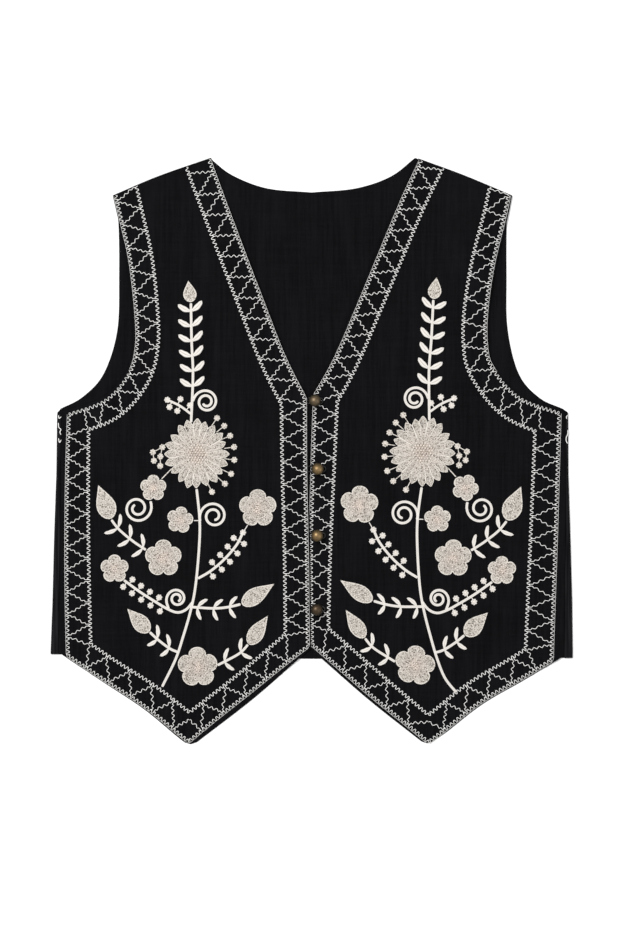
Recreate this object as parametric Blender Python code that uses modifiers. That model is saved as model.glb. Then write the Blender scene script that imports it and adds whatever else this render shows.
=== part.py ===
"""An embroidered folk vest, laid flat on a surface with its fronts up.

Blender works in metres, +Z up. The sizes below are in millimetres and MM turns them into metres.
The origin is on the surface under the middle of the vest, with the neck towards +Y. "left" and
"right" are as the vest is seen from above, so the left front lies on the -X side.

From the surface up: the back, inside up and folded round at both sides; the two fronts, which meet
the back at the side seams; raised embroidery on the fronts; ball buttons and the loops round them.
"""

import math

import bmesh
import bpy
from mathutils import Matrix, Vector, geometry
from mathutils.bvhtree import BVHTree

MM = 0.001
SIDES = ("left", "right")

# Cloth: one wall for every panel, and the gap between pieces that are sewn together or lie stacked.
CLOTH = 1.2
GAP = 0.3
STACK = CLOTH + GAP
GRID = 24.0
GRID_MARGIN = 10.0
OUTLINE_STEP = 15.0

# Embroidery: height of the thread at its edge and at its crown, and the usual widths.
THREAD_EDGE = 0.8
THREAD_CROWN = 1.4
STEM_WIDTH = 2.7
LINK_WIDTH = 1.2
BERRY_RADIUS = 3.0

# A front's underside comes down to the surface between these lines, just past the back's hem.
STEP_TOP = -193.0
STEP_FOOT = -206.0

# The left front's centre edge rides up over the right front's between these lines.
LAP_INNER = -17.0
LAP_OUTER = -5.0
LAP_START = 84.0
LAP_FULL = 50.0

# Buttons: a flattened ball on a short shank, sewn to the right front, and a cord loop round it.
BUTTON_PLACES = ((3.1, 45.8), (5.7, -17.0), (5.2, -78.2), (4.8, -146.1))
BUTTON_RADIUS = 5.3
BUTTON_HALF_HEIGHT = 4.2
SHANK_RADIUS = 1.4
SHANK_HEIGHT = 2.3
TURN_STEPS = 16
PROFILE_STEPS = 7
LOOP_RADIUS = 0.75
LOOP_HALF_WIDTH = 2.5
LOOP_REACH = 4.8
LOOP_CLEARANCE = 0.45
LOOP_FALL = 2.4

# Outline of a front as it lies: run, left front x, y, right front x, y. Each run is a smooth curve.
FRONT_OUTLINE = (
    ("shoulder", -92.5, 269.5, 98.5, 268.8),
    ("shoulder", -141.0, 252.6, 141.0, 253.2),
    ("shoulder", -183.0, 234.8, 184.8, 234.8),
    ("armhole", -177.8, 212.5, 178.8, 212.5),
    ("armhole", -169.3, 173.4, 170.0, 170.0),
    ("armhole", -164.1, 124.0, 163.8, 128.0),
    ("armhole", -164.2, 95.0, 163.3, 98.5),
    ("armhole", -171.5, 71.5, 168.5, 78.0),
    ("armhole", -192.5, 48.7, 192.0, 50.4),
    ("armhole", -230.0, 35.5, 233.6, 34.0),
    ("side", -231.3, -75.0, 233.6, -78.0),
    ("side", -232.8, -185.6, 232.4, -189.2),
    ("outer hem", -195.5, -210.2, 196.5, -209.3),
    ("outer hem", -155.5, -235.8, 157.8, -232.3),
    ("outer hem", -118.5, -263.4, 116.0, -262.6),
    ("tip", -110.8, -268.9, 108.0, -268.1),
    ("inner hem", -103.6, -265.4, 100.4, -263.4),
    ("inner hem", -52.0, -225.7, 50.5, -226.4),
    ("inner hem", -0.5, -181.8, -1.4, -182.0),
    ("centre edge", -1.0, -100.0, -2.2, -100.0),
    ("centre edge", -2.6, -20.0, -0.9, -20.0),
    ("centre edge", -3.0, 48.0, 0.7, 52.0),
    ("neck edge", -23.0, 88.0, 20.2, 88.0),
    ("neck edge", -44.5, 143.0, 43.6, 143.0),
    ("neck edge", -76.3, 226.0, 78.3, 226.0),
    ("neck edge", -92.5, 269.5, 98.5, 268.8),
)

# Half outlines of the back as it lies, neck to underarm: run, left x, y, right x, y.
BACK_OUTLINE = (
    ("neck", 0.0, 237.7, 0.0, 237.7),
    ("neck", -41.0, 241.5, 41.0, 241.5),
    ("neck", -73.0, 253.6, 73.0, 252.4),
    ("neck", -92.8, 268.6, 95.0, 268.0),
    ("shoulder", -182.0, 233.9, 183.6, 233.9),
    ("armhole", -178.0, 212.0, 178.6, 212.0),
    ("armhole", -177.2, 160.0, 178.0, 160.0),
    ("armhole", -179.0, 110.0, 179.5, 112.0),
    ("armhole", -191.5, 70.6, 190.9, 70.6),
    ("armhole", -211.0, 49.2, 210.0, 48.5),
    ("armhole", -231.0, 38.6, 231.6, 38.4),
)
BACK_HEM = -191.8

# Where the back folds round at each side: y, left x and right x of the vest's edge there.
SIDE_FOLD = (
    (36.0, -234.2, 236.2),
    (-20.0, -234.9, 236.5),
    (-80.0, -237.0, 238.4),
    (-140.0, -238.5, 240.0),
    (-190.0, -240.4, 240.6),
)

# The fold's first and last y, and its divisions along the side and round the bend.
FOLD_TOP = 36.0
FOLD_FOOT = {"left": -187.5, "right": -191.0}
FOLD_ROWS = 9
FOLD_STEPS = 5

# Soft creases in the fronts: side, x and y of one end, x and y of the other, half width, rise.
CREASES = (
    ("left", -152.0, 232.0, -140.0, 70.0, 22.0, 0.9),
    ("left", -95.0, 215.0, -72.0, 70.0, 20.0, 0.7),
    ("left", -196.0, 20.0, -200.0, -120.0, 22.0, 0.9),
    ("left", -62.0, 20.0, -30.0, -20.0, 20.0, 0.7),
    ("left", -88.0, -40.0, -78.0, -180.0, 24.0, 0.6),
    ("right", 148.0, 226.0, 138.0, 60.0, 22.0, 0.8),
    ("right", 98.0, 180.0, 92.0, 40.0, 20.0, 0.8),
    ("right", 200.0, 10.0, 197.0, -140.0, 22.0, 0.8),
    ("right", 62.0, 0.0, 42.0, -120.0, 20.0, 0.7),
    ("right", 150.0, -70.0, 140.0, -190.0, 24.0, 0.6),
)
CREASE_FADE = 26.0

# The right spray is the left one mirrored, a touch larger and turned in degrees about its middle.
LEFT_SPRAY_MIDDLE = (-118.0, -82.6)
RIGHT_SPRAY_MIDDLE = (112.3, -81.9)
RIGHT_SPRAY_SIZE = 1.01
RIGHT_SPRAY_TURN = -1.8

# Stems: the points that each one grows through, on the left front.
STEMS = {
    "sprig": ((-110.8, 24.0), (-109.0, 69.5), (-110.2, 99.0), (-111.0, 140.0)),
    "main": (
        (-106.2, -30.0), (-102.8, -65.0), (-103.7, -94.0), (-107.0, -127.0),
        (-111.5, -148.6), (-118.0, -171.0), (-125.0, -192.0), (-137.5, -217.5),
    ),
    "berry sprig": ((-110.8, 33.5), (-121.0, 41.0), (-132.6, 46.6)),
    "berry branch": ((-104.5, -117.8), (-93.0, -111.0), (-80.5, -100.4), (-69.0, -87.0), (-63.0, -75.5)),
    "low branch": (
        (-108.9, -139.0), (-115.2, -146.2), (-123.0, -149.0), (-132.0, -146.0),
        (-144.2, -140.2), (-158.2, -131.2), (-174.0, -118.4),
    ),
    "upper twig": ((-146.0, -95.2), (-155.2, -89.6), (-165.3, -82.6), (-177.6, -72.0), (-186.5, -60.0)),
    "right twig": ((-110.0, -145.0), (-90.0, -146.2), (-75.5, -144.6), (-60.0, -140.0)),
    "left twig": ((-122.0, -185.8), (-130.0, -182.4), (-141.0, -174.2), (-152.0, -164.0)),
    "lower twig": ((-93.0, -200.8), (-79.4, -193.9), (-65.2, -185.8), (-55.6, -175.0)),
}

# Pairs of leaflets: stem, first and last distance along it, pairs, then for its left and its right
# side the length and the angle away from the way that the stem runs.
LEAFLETS = (
    ("sprig", 35.0, 104.0, 6, 12.6, 61.0, 14.2, 46.0),
    ("upper twig", 10.5, 40.0, 3, 12.2, 68.0, 12.8, 50.0),
    ("right twig", 5.5, 35.0, 3, 12.2, 42.0, 10.4, 68.0),
    ("left twig", 9.5, 24.0, 2, 10.6, 76.0, 12.9, 47.0),
    ("lower twig", 14.5, 32.0, 2, 13.2, 45.0, 12.0, 68.0),
)
LEAFLET_WIDTH = 4.8
LEAFLET_BOW = 1.0

# Berries along a stem: stem, first distance, pitch, count, and the offset to its left.
STEM_BERRIES = (
    ("berry branch", 21.5, 10.4, 4, 5.6),
    ("berry branch", 10.5, 10.4, 5, -5.4),
    ("berry branch", 60.5, 1.0, 1, 0.0),
    ("low branch", 37.0, 10.0, 4, -5.4),
    ("low branch", 29.5, 10.2, 5, 5.4),
    ("berry sprig", 8.5, 9.6, 2, -5.0),
    ("berry sprig", 9.5, 9.0, 2, 5.0),
    ("berry sprig", 25.5, 1.0, 1, 0.0),
)

# Clockwise curls: centre x and y, first and last radius, start angle, turns.
CURLS = {
    "sprig": (-96.1, 45.0, 12.8, 3.9, 178.0, 2.0),
    "blossom": (-160.3, -53.4, 14.2, 3.9, 32.0, 1.75),
    "main": (-90.2, -59.6, 12.9, 3.9, 202.0, 1.75),
    "low": (-123.9, -136.7, 12.4, 3.4, 232.0, 1.7),
}
CURL_STEP = 36.0

# Five-petal blossoms: centre x and y, radius, and the angle of one petal.
BLOSSOMS = (
    (-145.5, -34.0, 12.2, 90.0),
    (-121.0, -63.9, 12.2, 80.0),
    (-50.3, -52.2, 17.4, 90.0),
    (-136.3, -98.5, 17.0, 90.0),
    (-181.1, -108.6, 13.4, 90.0),
    (-104.7, -199.3, 17.8, 92.0),
)
PETAL_NOTCH = 0.79

# Buds: base x and y, tip x and y, width.
BUDS = (
    (-111.0, 136.4, -113.4, 156.4, 12.0),
    (-184.4, -63.4, -195.8, -32.5, 17.0),
    (-63.8, -141.6, -34.0, -122.5, 14.6),
    (-149.4, -167.0, -169.6, -145.5, 13.8),
    (-57.6, -178.2, -39.9, -151.7, 13.2),
)

# The daisy, its knotted eye, and the berries on thin links round it.
DAISY_CENTRE = (-105.6, -3.2)
DAISY_RADII = (30.6, 33.0)
DAISY_PETALS = 20
DAISY_NOTCH = 0.87
EYE_RADIUS = 10.2
EYE_CROWN = 5.6
RING_BERRIES = 8
RING_FIRST_ANGLE = 60.0
RING_PITCH = 18.3
RING_RADII = (34.6, 39.6)
SIDE_BERRIES = ((-137.2, 3.0), (-139.0, -5.6), (-139.2, -14.2), (-145.9, -1.6), (-144.9, -9.4))

# The thin threads between two motifs, from x, y to x, y.
STEM_LINKS = ((-121.0, -64.5, -102.8, -64.5), (-63.0, -75.5, -52.0, -58.0))
DAISY_LINK = (-145.5, -34.0, -126.0, -14.0)


# Plane geometry ----------------------------------------------------------------------------------


def polar(radius, degrees):
    angle = math.radians(degrees)
    return Vector((radius * math.cos(angle), radius * math.sin(angle)))


def smoothstep(low, high, value):
    share = min(1.0, max(0.0, (value - low) / (high - low)))
    return share * share * (3 - 2 * share)


def catmull_rom(points, step):
    """A smooth curve through the points, sampled about every `step`, with both of its ends."""
    knots = [Vector(point) for point in points]
    knots = [2 * knots[0] - knots[1], *knots, 2 * knots[-1] - knots[-2]]
    curve = []
    for before, start, end, after in zip(knots, knots[1:], knots[2:], knots[3:]):
        pieces = max(1, round((end - start).length / step))
        for t in (piece / pieces for piece in range(pieces)):
            bend = 2 * before - 5 * start + 4 * end - after
            twist = 3 * start - before - 3 * end + after
            curve.append(0.5 * (2 * start + (end - before) * t + bend * t ** 2 + twist * t ** 3))
    return [*curve, knots[-2]]


def outline_points(table, side, step):
    """The outline that a table gives for one side, with each of its runs drawn as a smooth curve."""
    column = 1 if side == "left" else 3
    outline = [Vector(table[0][column:column + 2])]
    run = [outline[0]]
    for row, following in zip(table[1:], [*table[2:], (None,)]):
        run.append(Vector(row[column:column + 2]))
        if following[0] != row[0]:
            outline.extend(catmull_rom(run, step)[1:])
            run = [run[-1]]
    return outline


def interpolated(rows, column, y):
    """The value of one column of a table at y, whose rows go from high y to low."""
    for upper, lower in zip(rows, rows[1:]):
        if y >= lower[0]:
            break
    share = (upper[0] - y) / (upper[0] - lower[0])
    return upper[column] + (lower[column] - upper[column]) * share


def distance_to(outline, point):
    """The distance from a point to a closed outline."""
    nearest = math.inf
    for start, end in zip(outline, [*outline[1:], outline[0]]):
        along = end - start
        share = (point - start).dot(along) / max(along.length_squared, 1e-9)
        nearest = min(nearest, (start + along * min(1.0, max(0.0, share)) - point).length)
    return nearest


def place_on(curve, distance):
    """The point at a distance along a curve, and the heading of the curve there in degrees."""
    for start, end in zip(curve, curve[1:]):
        length = (end - start).length
        if distance <= length or end is curve[-1]:
            break
        distance -= length
    way = (end - start) / length
    return start + way * distance, math.degrees(math.atan2(way.y, way.x))


def ring(centre, radius, corners):
    return [Vector(centre) + polar(radius, 360 * corner / corners) for corner in range(corners)]


def ribbon(curve, width):
    """A band of even width along a curve, with a point at each end."""
    left = []
    right = []
    for index, point in enumerate(curve):
        way = (curve[min(index + 1, len(curve) - 1)] - curve[max(index - 1, 0)]).normalized()
        across = Vector((-way.y, way.x)) * width / 2
        left.append(point + across)
        right.append(point - across)
    head = curve[-1] + (curve[-1] - curve[-2]).normalized() * width / 2
    tail = curve[0] - (curve[1] - curve[0]).normalized() * width / 2
    return [*right, head, *reversed(left), tail]


def leaf(base, tip, width, stations, bow=0.0):
    """A leaf from base to tip, as wide at each station along it as that station's share of width.
    Its rib bows to the left of that line by the given distance."""
    base = Vector(base)
    along = Vector(tip) - base
    across = Vector((-along.y, along.x)).normalized()
    rib = [base + along * place + across * bow * 4 * place * (1 - place) for place, _ in stations]
    half_widths = [across * share * width / 2 for _, share in stations]
    right = [middle - half for middle, half in zip(rib, half_widths)]
    left = [middle + half for middle, half in zip(rib, half_widths)]
    return [*right, base + along, *reversed(left)], rib[1:-1]


def grown(outline, by):
    """The outline moved outwards by a small distance."""
    area = sum(a.cross(b) for a, b in zip(outline, [*outline[1:], outline[0]]))
    moved = []
    for index, point in enumerate(outline):
        before = (point - outline[index - 1]).normalized()
        after = (outline[(index + 1) % len(outline)] - point).normalized()
        way = (before + after).normalized()
        outwards = Vector((way.y, -way.x)) * math.copysign(1.0, area)
        moved.append(point + outwards * by / max(0.5, way.dot(before)))
    return moved


# Motifs of the embroidery, on the left front ------------------------------------------------------


def berry(centre):
    """A round knot. Each motif here is its outline, then the points where the thread is highest."""
    return ring(centre, BERRY_RADIUS, 6), [Vector(centre)]


def leaflet(base, heading, length, bow):
    """A small pointed leaf on a stem."""
    tip = Vector(base) + polar(length, heading)
    return leaf(base, tip, LEAFLET_WIDTH, ((-0.02, 0.35), (0.42, 1.0), (0.8, 0.66)), bow)


def bud(base_x, base_y, tip_x, tip_y, width):
    """A closed bud, round below and drawn out to a point."""
    stations = ((0.0, 0.24), (0.15, 0.76), (0.36, 1.0), (0.6, 0.76), (0.82, 0.3))
    return leaf((base_x, base_y), (tip_x, tip_y), width, stations)


def blossom(x, y, radius, petal_angle):
    """Five round petals: the outline, and a crown point in the middle and on each petal."""
    centre = Vector((x, y))
    outline = []
    crowns = [centre]
    for petal in range(5):
        angle = petal_angle + 72 * petal
        for turn, share in ((-36, PETAL_NOTCH), (-21, 0.96), (0, 1.0), (21, 0.96)):
            outline.append(centre + polar(radius * share, angle + turn))
        crowns.append(centre + polar(radius * 0.55, angle))
    return outline, crowns


def daisy():
    """Pointed petals all round: the outline, and crown points in the middle and on the petals."""
    centre = Vector(DAISY_CENTRE)
    radii = Vector(DAISY_RADII)
    pitch = 360 / DAISY_PETALS
    outline = []
    crowns = [centre]
    for petal in range(DAISY_PETALS):
        angle = 90 + pitch * petal
        outline.append(centre + polar(DAISY_NOTCH, angle - pitch / 2) * radii)
        outline.append(centre + polar(1.0, angle) * radii)
        crowns.append(centre + polar(0.66, angle) * radii)
    return outline, crowns


def daisy_berries():
    """The centres of the berries round the daisy, and the daisy's rim where each link starts."""
    centre = Vector(DAISY_CENTRE)
    radii = Vector(DAISY_RADII)
    near, far = RING_RADII
    places = []
    for index in range(RING_BERRIES):
        angle = RING_FIRST_ANGLE - RING_PITCH * index
        radius = near + (far - near) * abs(math.sin(math.radians(angle)))
        places.append(centre + polar(radius, angle))
    places.extend(Vector(place) for place in SIDE_BERRIES)
    links = []
    for place in places:
        away = (place - centre).normalized()
        links.append((centre + away * radii * 0.8, place))
    return places, links


def curl(x, y, first_radius, last_radius, start_angle, turns):
    """A tendril wound clockwise inwards."""
    steps = round(turns * 360 / CURL_STEP)
    line = []
    for step in range(steps + 1):
        radius = first_radius + (last_radius - first_radius) * (step / steps) ** 0.9
        line.append(Vector((x, y)) + polar(radius, start_angle - CURL_STEP * step))
    return ribbon(line, STEM_WIDTH), []


def link(x, y, far_x, far_y):
    return ribbon([Vector((x, y)), Vector((far_x, far_y))], LINK_WIDTH), []


def stem(name):
    return ribbon(catmull_rom(STEMS[name], 9.0), STEM_WIDTH), []


def leaflets_of(name):
    line = catmull_rom(STEMS[name], 4.0)
    made = []
    for stem_name, first, last, pairs, left_length, left_angle, right_length, right_angle in LEAFLETS:
        if stem_name != name:
            continue
        for pair in range(pairs):
            base, heading = place_on(line, first + (last - first) * pair / (pairs - 1))
            made.append(leaflet(base, heading + left_angle, left_length, LEAFLET_BOW))
            made.append(leaflet(base, heading - right_angle, right_length, -LEAFLET_BOW))
    return made


def berries_of(name):
    line = catmull_rom(STEMS[name], 4.0)
    made = []
    for stem_name, first, pitch, count, offset in STEM_BERRIES:
        if stem_name != name:
            continue
        for index in range(count):
            root, heading = place_on(line, first + pitch * index)
            place = root + polar(offset, heading + 90)
            made.append(berry(place))
            if offset:
                made.append(link(*root, *place))
    return made


def spray_pieces():
    """Each piece of the spray: its name, the motifs that it joins, and the motifs it stops short of."""
    blossoms = [blossom(*row) for row in BLOSSOMS]
    buds = [bud(*row) for row in BUDS]
    whole_daisy = daisy()
    places, links = daisy_berries()
    daisy_motifs = [whole_daisy, *map(berry, places)]
    daisy_motifs.extend(link(*start, *end) for start, end in links)
    blossom_curl = curl(*CURLS["blossom"])
    sprig = [stem("sprig"), *leaflets_of("sprig"), stem("berry sprig"), *berries_of("berry sprig")]
    main = [stem("main"), curl(*CURLS["main"]), *(link(*ends) for ends in STEM_LINKS)]
    for name in ("berry branch", "low branch", "right twig", "left twig"):
        main.extend((stem(name), *leaflets_of(name), *berries_of(name)))
    upper_twig = [stem("upper twig"), *leaflets_of("upper twig")]
    lower_twig = [stem("lower twig"), *leaflets_of("lower twig")]
    pieces = [
        ("sprig", [*sprig, curl(*CURLS["sprig"])], [whole_daisy, buds[0]]),
        ("stem", [*main, curl(*CURLS["low"])], [whole_daisy, *blossoms, *buds]),
        ("curl", [blossom_curl], [blossoms[0]]),
        ("upper_twig", upper_twig, [blossoms[3], buds[1], blossom_curl]),
        ("lower_twig", lower_twig, [blossoms[5], buds[4]]),
        ("daisy", daisy_motifs, []),
    ]
    pieces.append(("blossom_1", [blossoms[0], link(*DAISY_LINK)], daisy_motifs))
    pieces.extend((f"blossom_{index}", [motif], []) for index, motif in enumerate(blossoms[1:], 2))
    pieces.extend((f"bud_{index}", [motif], []) for index, motif in enumerate(buds, 1))
    return pieces


def laid_point(point, side):
    """A point of the left spray, or its place on the right front."""
    if side == "left":
        return Vector(point)
    middle = LEFT_SPRAY_MIDDLE
    mirrored = Vector((middle[0] - point[0], point[1] - middle[1])) * RIGHT_SPRAY_SIZE
    return Matrix.Rotation(math.radians(RIGHT_SPRAY_TURN), 2) @ mirrored + Vector(RIGHT_SPRAY_MIDDLE)


# Solids ------------------------------------------------------------------------------------------


def material_named(name, colour, roughness, metallic=0.0):
    made = bpy.data.materials.new(name)
    made.use_nodes = True
    shader = made.node_tree.nodes["Principled BSDF"]
    shader.inputs["Base Color"].default_value = (*colour, 1.0)
    shader.inputs["Roughness"].default_value = roughness
    shader.inputs["Metallic"].default_value = metallic
    return made


def add_object(name, data, material):
    data.materials.append(material)
    made = bpy.data.objects.new(name, data)
    vest.objects.link(made)
    made.parent = vest_origin
    return made


def filled(outlines, cuts=(), inner_points=(), lines=()):
    """A flat mesh of the area inside any of the outlines and outside every cut."""
    points = []
    areas = []
    for outline in (*outlines, *cuts):
        turn = sum(a.cross(b) for a, b in zip(outline, [*outline[1:], outline[0]]))
        areas.append(list(range(len(points), len(points) + len(outline))))
        points.extend(outline if turn > 0 else reversed(outline))
    edges = []
    for line in lines:
        edges.extend((index, index + 1) for index in range(len(points), len(points) + len(line) - 1))
        points.extend(line)
    points.extend(inner_points)
    found, _, triangles, _, _, owners = geometry.delaunay_2d_cdt(points, edges, areas, 1, 0.01)
    sheet = bmesh.new()
    corners = [sheet.verts.new((*point, 0.0)) for point in found]
    for triangle, owner in zip(triangles, owners):
        if owner and max(owner) < len(outlines):
            sheet.faces.new([corners[index] for index in triangle])
    bmesh.ops.delete(sheet, geom=[vert for vert in corners if not vert.link_faces], context="VERTS")
    return sheet


def finished(sheet, name):
    bmesh.ops.scale(sheet, vec=(MM, MM, MM), verts=sheet.verts)
    data = bpy.data.meshes.new(name)
    sheet.to_mesh(data)
    sheet.free()
    return data


def add_cloth(name, sheet, material):
    """A cloth panel: its middle surface, thickened evenly to both sides."""
    made = add_object(name, finished(sheet, name), material)
    wall = made.modifiers.new("wall", "SOLIDIFY")
    wall.thickness = CLOTH * MM
    wall.offset = 0.0
    wall.use_even_offset = True
    return made


def top_of(*objects):
    """A function that gives the height of the objects' upper face at a point, in millimetres."""
    bpy.context.view_layer.update()
    graph = bpy.context.evaluated_depsgraph_get()
    trees = [BVHTree.FromObject(thing, graph) for thing in objects]

    def height(point):
        above = Vector((point[0] * MM, point[1] * MM, 1.0))
        hits = [tree.ray_cast(above, Vector((0, 0, -1)))[0] for tree in trees]
        return max(hit.z for hit in hits if hit) / MM

    return height


def add_embroidery(name, side, motifs, cuts, seat):
    """Threads raised on what lies below them: lower along their edge, and higher at each crown."""
    outlines = [[laid_point(point, side) for point in outline] for outline, _ in motifs]
    crowns = [laid_point(point, side) for _, points in motifs for point in points]
    spaces = [grown([laid_point(point, side) for point in outline], GAP) for outline, _ in cuts]
    patch = filled(outlines, spaces, crowns)
    height = {tuple(v.co.xy): THREAD_EDGE if v.is_boundary else THREAD_CROWN for v in patch.verts}
    raised = bmesh.ops.extrude_face_region(patch, geom=patch.faces[:])
    upper = {item for item in raised["geom"] if isinstance(item, bmesh.types.BMVert)}
    for vert in patch.verts:
        above = height[tuple(vert.co.xy)] if vert in upper else 0.0
        vert.co.z = seat(vert.co) + GAP + above
    bmesh.ops.recalc_face_normals(patch, faces=patch.faces)
    return add_object(f"{name}_{side}", finished(patch, name), ivory_thread)


def inside_grid(outline, spacing, margin):
    """Points of a triangular grid that lie inside an outline, at least a margin from it."""
    low_x, high_x = min(p.x for p in outline), max(p.x for p in outline)
    low_y, high_y = min(p.y for p in outline), max(p.y for p in outline)
    rise = spacing * math.sqrt(3) / 2
    points = []
    for row in range(int((high_y - low_y) / rise) + 1):
        for column in range(int((high_x - low_x) / spacing) + 2):
            point = Vector((low_x + spacing * (column - 0.5 * (row % 2)), low_y + rise * row))
            edges = zip(outline, [*outline[1:], outline[0]])
            crossed = sum(
                (a.y > point.y) != (b.y > point.y)
                and point.x < a.x + (b.x - a.x) * (point.y - a.y) / (b.y - a.y)
                for a, b in edges
            )
            if crossed % 2 and distance_to(outline, point) >= margin:
                points.append(point)
    return points


def crease_height(side, point):
    height = 0.0
    for crease_side, x, y, far_x, far_y, half_width, rise in CREASES:
        if crease_side == side:
            start = Vector((x, y))
            along = Vector((far_x, far_y)) - start
            share = min(1.0, max(0.0, (point - start).dot(along) / along.length_squared))
            away = (start + along * share - point).length / half_width
            height += rise * math.exp(-away * away)
    return height


def front_height(side, point, edge_distance):
    """The height of a front's middle surface above the surface that the vest lies on."""
    on_back = smoothstep(STEP_FOOT, STEP_TOP, point.y)
    height = CLOTH / 2 + STACK * on_back
    if side == "left":
        height += STACK * smoothstep(LAP_INNER, LAP_OUTER, point.x) * smoothstep(LAP_START, LAP_FULL, point.y)
    return height + crease_height(side, point) * smoothstep(0, CREASE_FADE, edge_distance) * on_back


def add_front(side):
    outline = outline_points(FRONT_OUTLINE, side, OUTLINE_STEP)[:-1]
    step_lines = []
    for y in (STEP_TOP, (STEP_TOP + STEP_FOOT) / 2, STEP_FOOT):
        step_lines.append([Vector((x, y)) for x in range(-240, 241, 20)])
    lap_lines = []
    if side == "left":
        for x in (LAP_INNER, (LAP_INNER + LAP_OUTER) / 2, LAP_OUTER):
            lap_lines.append([Vector((x, y)) for y in range(100, -201, -20)])
    lines = [*step_lines, *lap_lines]
    inner = [
        point for point in inside_grid(outline, GRID, GRID_MARGIN)
        if all(min((point - mark).length for mark in line) > GRID_MARGIN for line in lines)
    ]
    sheet = filled([outline], inner_points=inner, lines=lines)
    for vert in sheet.verts:
        point = vert.co.xy
        vert.co.z = front_height(side, point, distance_to(outline, point))
    return add_cloth(f"front_{side}", sheet, black_cotton)


def fold_start(side, y):
    """How far out the back lies flat before it folds round."""
    column = 1 if side == "left" else 2
    return abs(interpolated(SIDE_FOLD, column, y)) - CLOTH - GAP / 2


def seam_place(side, y):
    """How far out the edge of the back's folded strip lies, beside the front's side edge."""
    first = [row[0] for row in FRONT_OUTLINE].index("side")
    column = 1 if side == "left" else 3
    edge = [(row[column + 1], row[column]) for row in FRONT_OUTLINE[first - 1:first + 2]]
    return abs(interpolated(edge, 1, y)) + GAP


def folded(point):
    """The place of a point of the back's flat cut, once its sides are folded round."""
    side = "left" if point.x < 0 else "right"
    outwards = math.copysign(1.0, point.x)
    start = fold_start(side, point.y)
    beyond = abs(point.x) - start
    radius = STACK / 2
    turn = min(math.pi, max(0.0, beyond / radius))
    past = max(0.0, beyond - math.pi * radius)
    if beyond <= 0:
        return Vector((point.x, point.y, CLOTH / 2))
    across = start + radius * math.sin(turn) - past
    return Vector((outwards * across, point.y, CLOTH / 2 + radius * (1 - math.cos(turn))))


def add_back():
    arc = math.pi * STACK / 2
    outline = []
    lines = []
    for side in SIDES:
        outwards = -1 if side == "left" else 1
        upper = outline_points(BACK_OUTLINE, side, OUTLINE_STEP)
        rows = [FOLD_TOP + (FOLD_FOOT[side] - FOLD_TOP) * row / FOLD_ROWS for row in range(FOLD_ROWS + 1)]
        for step in range(FOLD_STEPS + 1):
            shift = arc * step / FOLD_STEPS
            lines.append([Vector((outwards * (fold_start(side, y) + shift), y)) for y in rows])
        strip = [2 * fold_start(side, y) + arc - seam_place(side, y) for y in rows]
        edge = [Vector((outwards * x, y)) for x, y in zip(strip, rows)]
        hem = [line[-1] for line in reversed(lines[-FOLD_STEPS - 1:])]
        top = [line[0] for line in lines[-FOLD_STEPS - 1:]]
        half = [*upper, *top, *edge, *hem]
        outline = [*half, Vector((0.0, BACK_HEM)), *reversed(outline)] if side == "right" else half
    sheet = filled([outline[:-1]], lines=lines)
    for vert in sheet.verts:
        vert.co = folded(vert.co.copy())
    return add_cloth("back", sheet, black_cotton)


def add_button(index, x, y, seat):
    """A ball turned on its shank, from a profile that runs down its outer side."""
    middle = SHANK_HEIGHT + BUTTON_HALF_HEIGHT
    lowest = math.degrees(math.acos(SHANK_RADIUS / BUTTON_RADIUS))
    profile = []
    for step in range(PROFILE_STEPS + 1):
        angle = 90 - (90 + lowest) * step / PROFILE_STEPS
        point = polar(1.0, angle)
        profile.append((point.x * BUTTON_RADIUS, middle + point.y * BUTTON_HALF_HEIGHT))
    profile.extend(((SHANK_RADIUS, 0.0), (0.0, 0.0)))
    turned = bmesh.new()
    corners = [turned.verts.new((radius * MM, 0.0, z * MM)) for radius, z in profile]
    for start, end in zip(corners, corners[1:]):
        turned.edges.new((start, end))
    data = bpy.data.meshes.new("button")
    turned.to_mesh(data)
    turned.free()
    made = add_object(f"button_{index}", data, antique_brass)
    made.location = (x * MM, y * MM, (seat((x, y)) + GAP) * MM)
    screw = made.modifiers.new("turn", "SCREW")
    screw.steps = TURN_STEPS
    screw.render_steps = TURN_STEPS
    screw.use_merge_vertices = True
    screw.merge_threshold = 1e-5


def right_reach(outline, y):
    """How far to the right an outline reaches at y."""
    crossings = []
    for start, end in zip(outline, [*outline[1:], outline[0]]):
        if min(start.y, end.y) <= y < max(start.y, end.y):
            crossings.append(start.x + (end.x - start.x) * (y - start.y) / (end.y - start.y))
    return max(crossings)


def add_loop(index, x, y, seat, left_outline):
    """A cord from the left front's edge round the button's shank, lying on the right front."""
    edge = right_reach(left_outline, y)
    rest = seat((x, y)) + LOOP_CLEARANCE + LOOP_RADIUS
    start_height = CLOTH / 2 + 2 * STACK
    reach = x + LOOP_REACH
    legs = [(edge + GAP, start_height), (edge + LOOP_FALL, rest), (x, rest), (reach, rest)]
    upper = [(leg_x, y + LOOP_HALF_WIDTH, z) for leg_x, z in legs]
    lower = [(leg_x, y - LOOP_HALF_WIDTH, z) for leg_x, z in reversed(legs)]
    bow = []
    for step in range(1, 6):
        point = polar(LOOP_HALF_WIDTH, 90 - 30 * step)
        bow.append((reach + point.x, y + point.y, rest))
    route = [*upper, *bow, *lower]
    data = bpy.data.curves.new(f"loop_{index}", "CURVE")
    data.dimensions = "3D"
    data.bevel_depth = LOOP_RADIUS * MM
    data.bevel_resolution = 2
    data.use_fill_caps = True
    spline = data.splines.new("POLY")
    spline.points.add(len(route) - 1)
    for knot, place in zip(spline.points, route):
        knot.co = (*(value * MM for value in place), 1.0)
    return add_object(f"loop_{index}", data, black_cord)


# The vest ----------------------------------------------------------------------------------------

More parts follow.
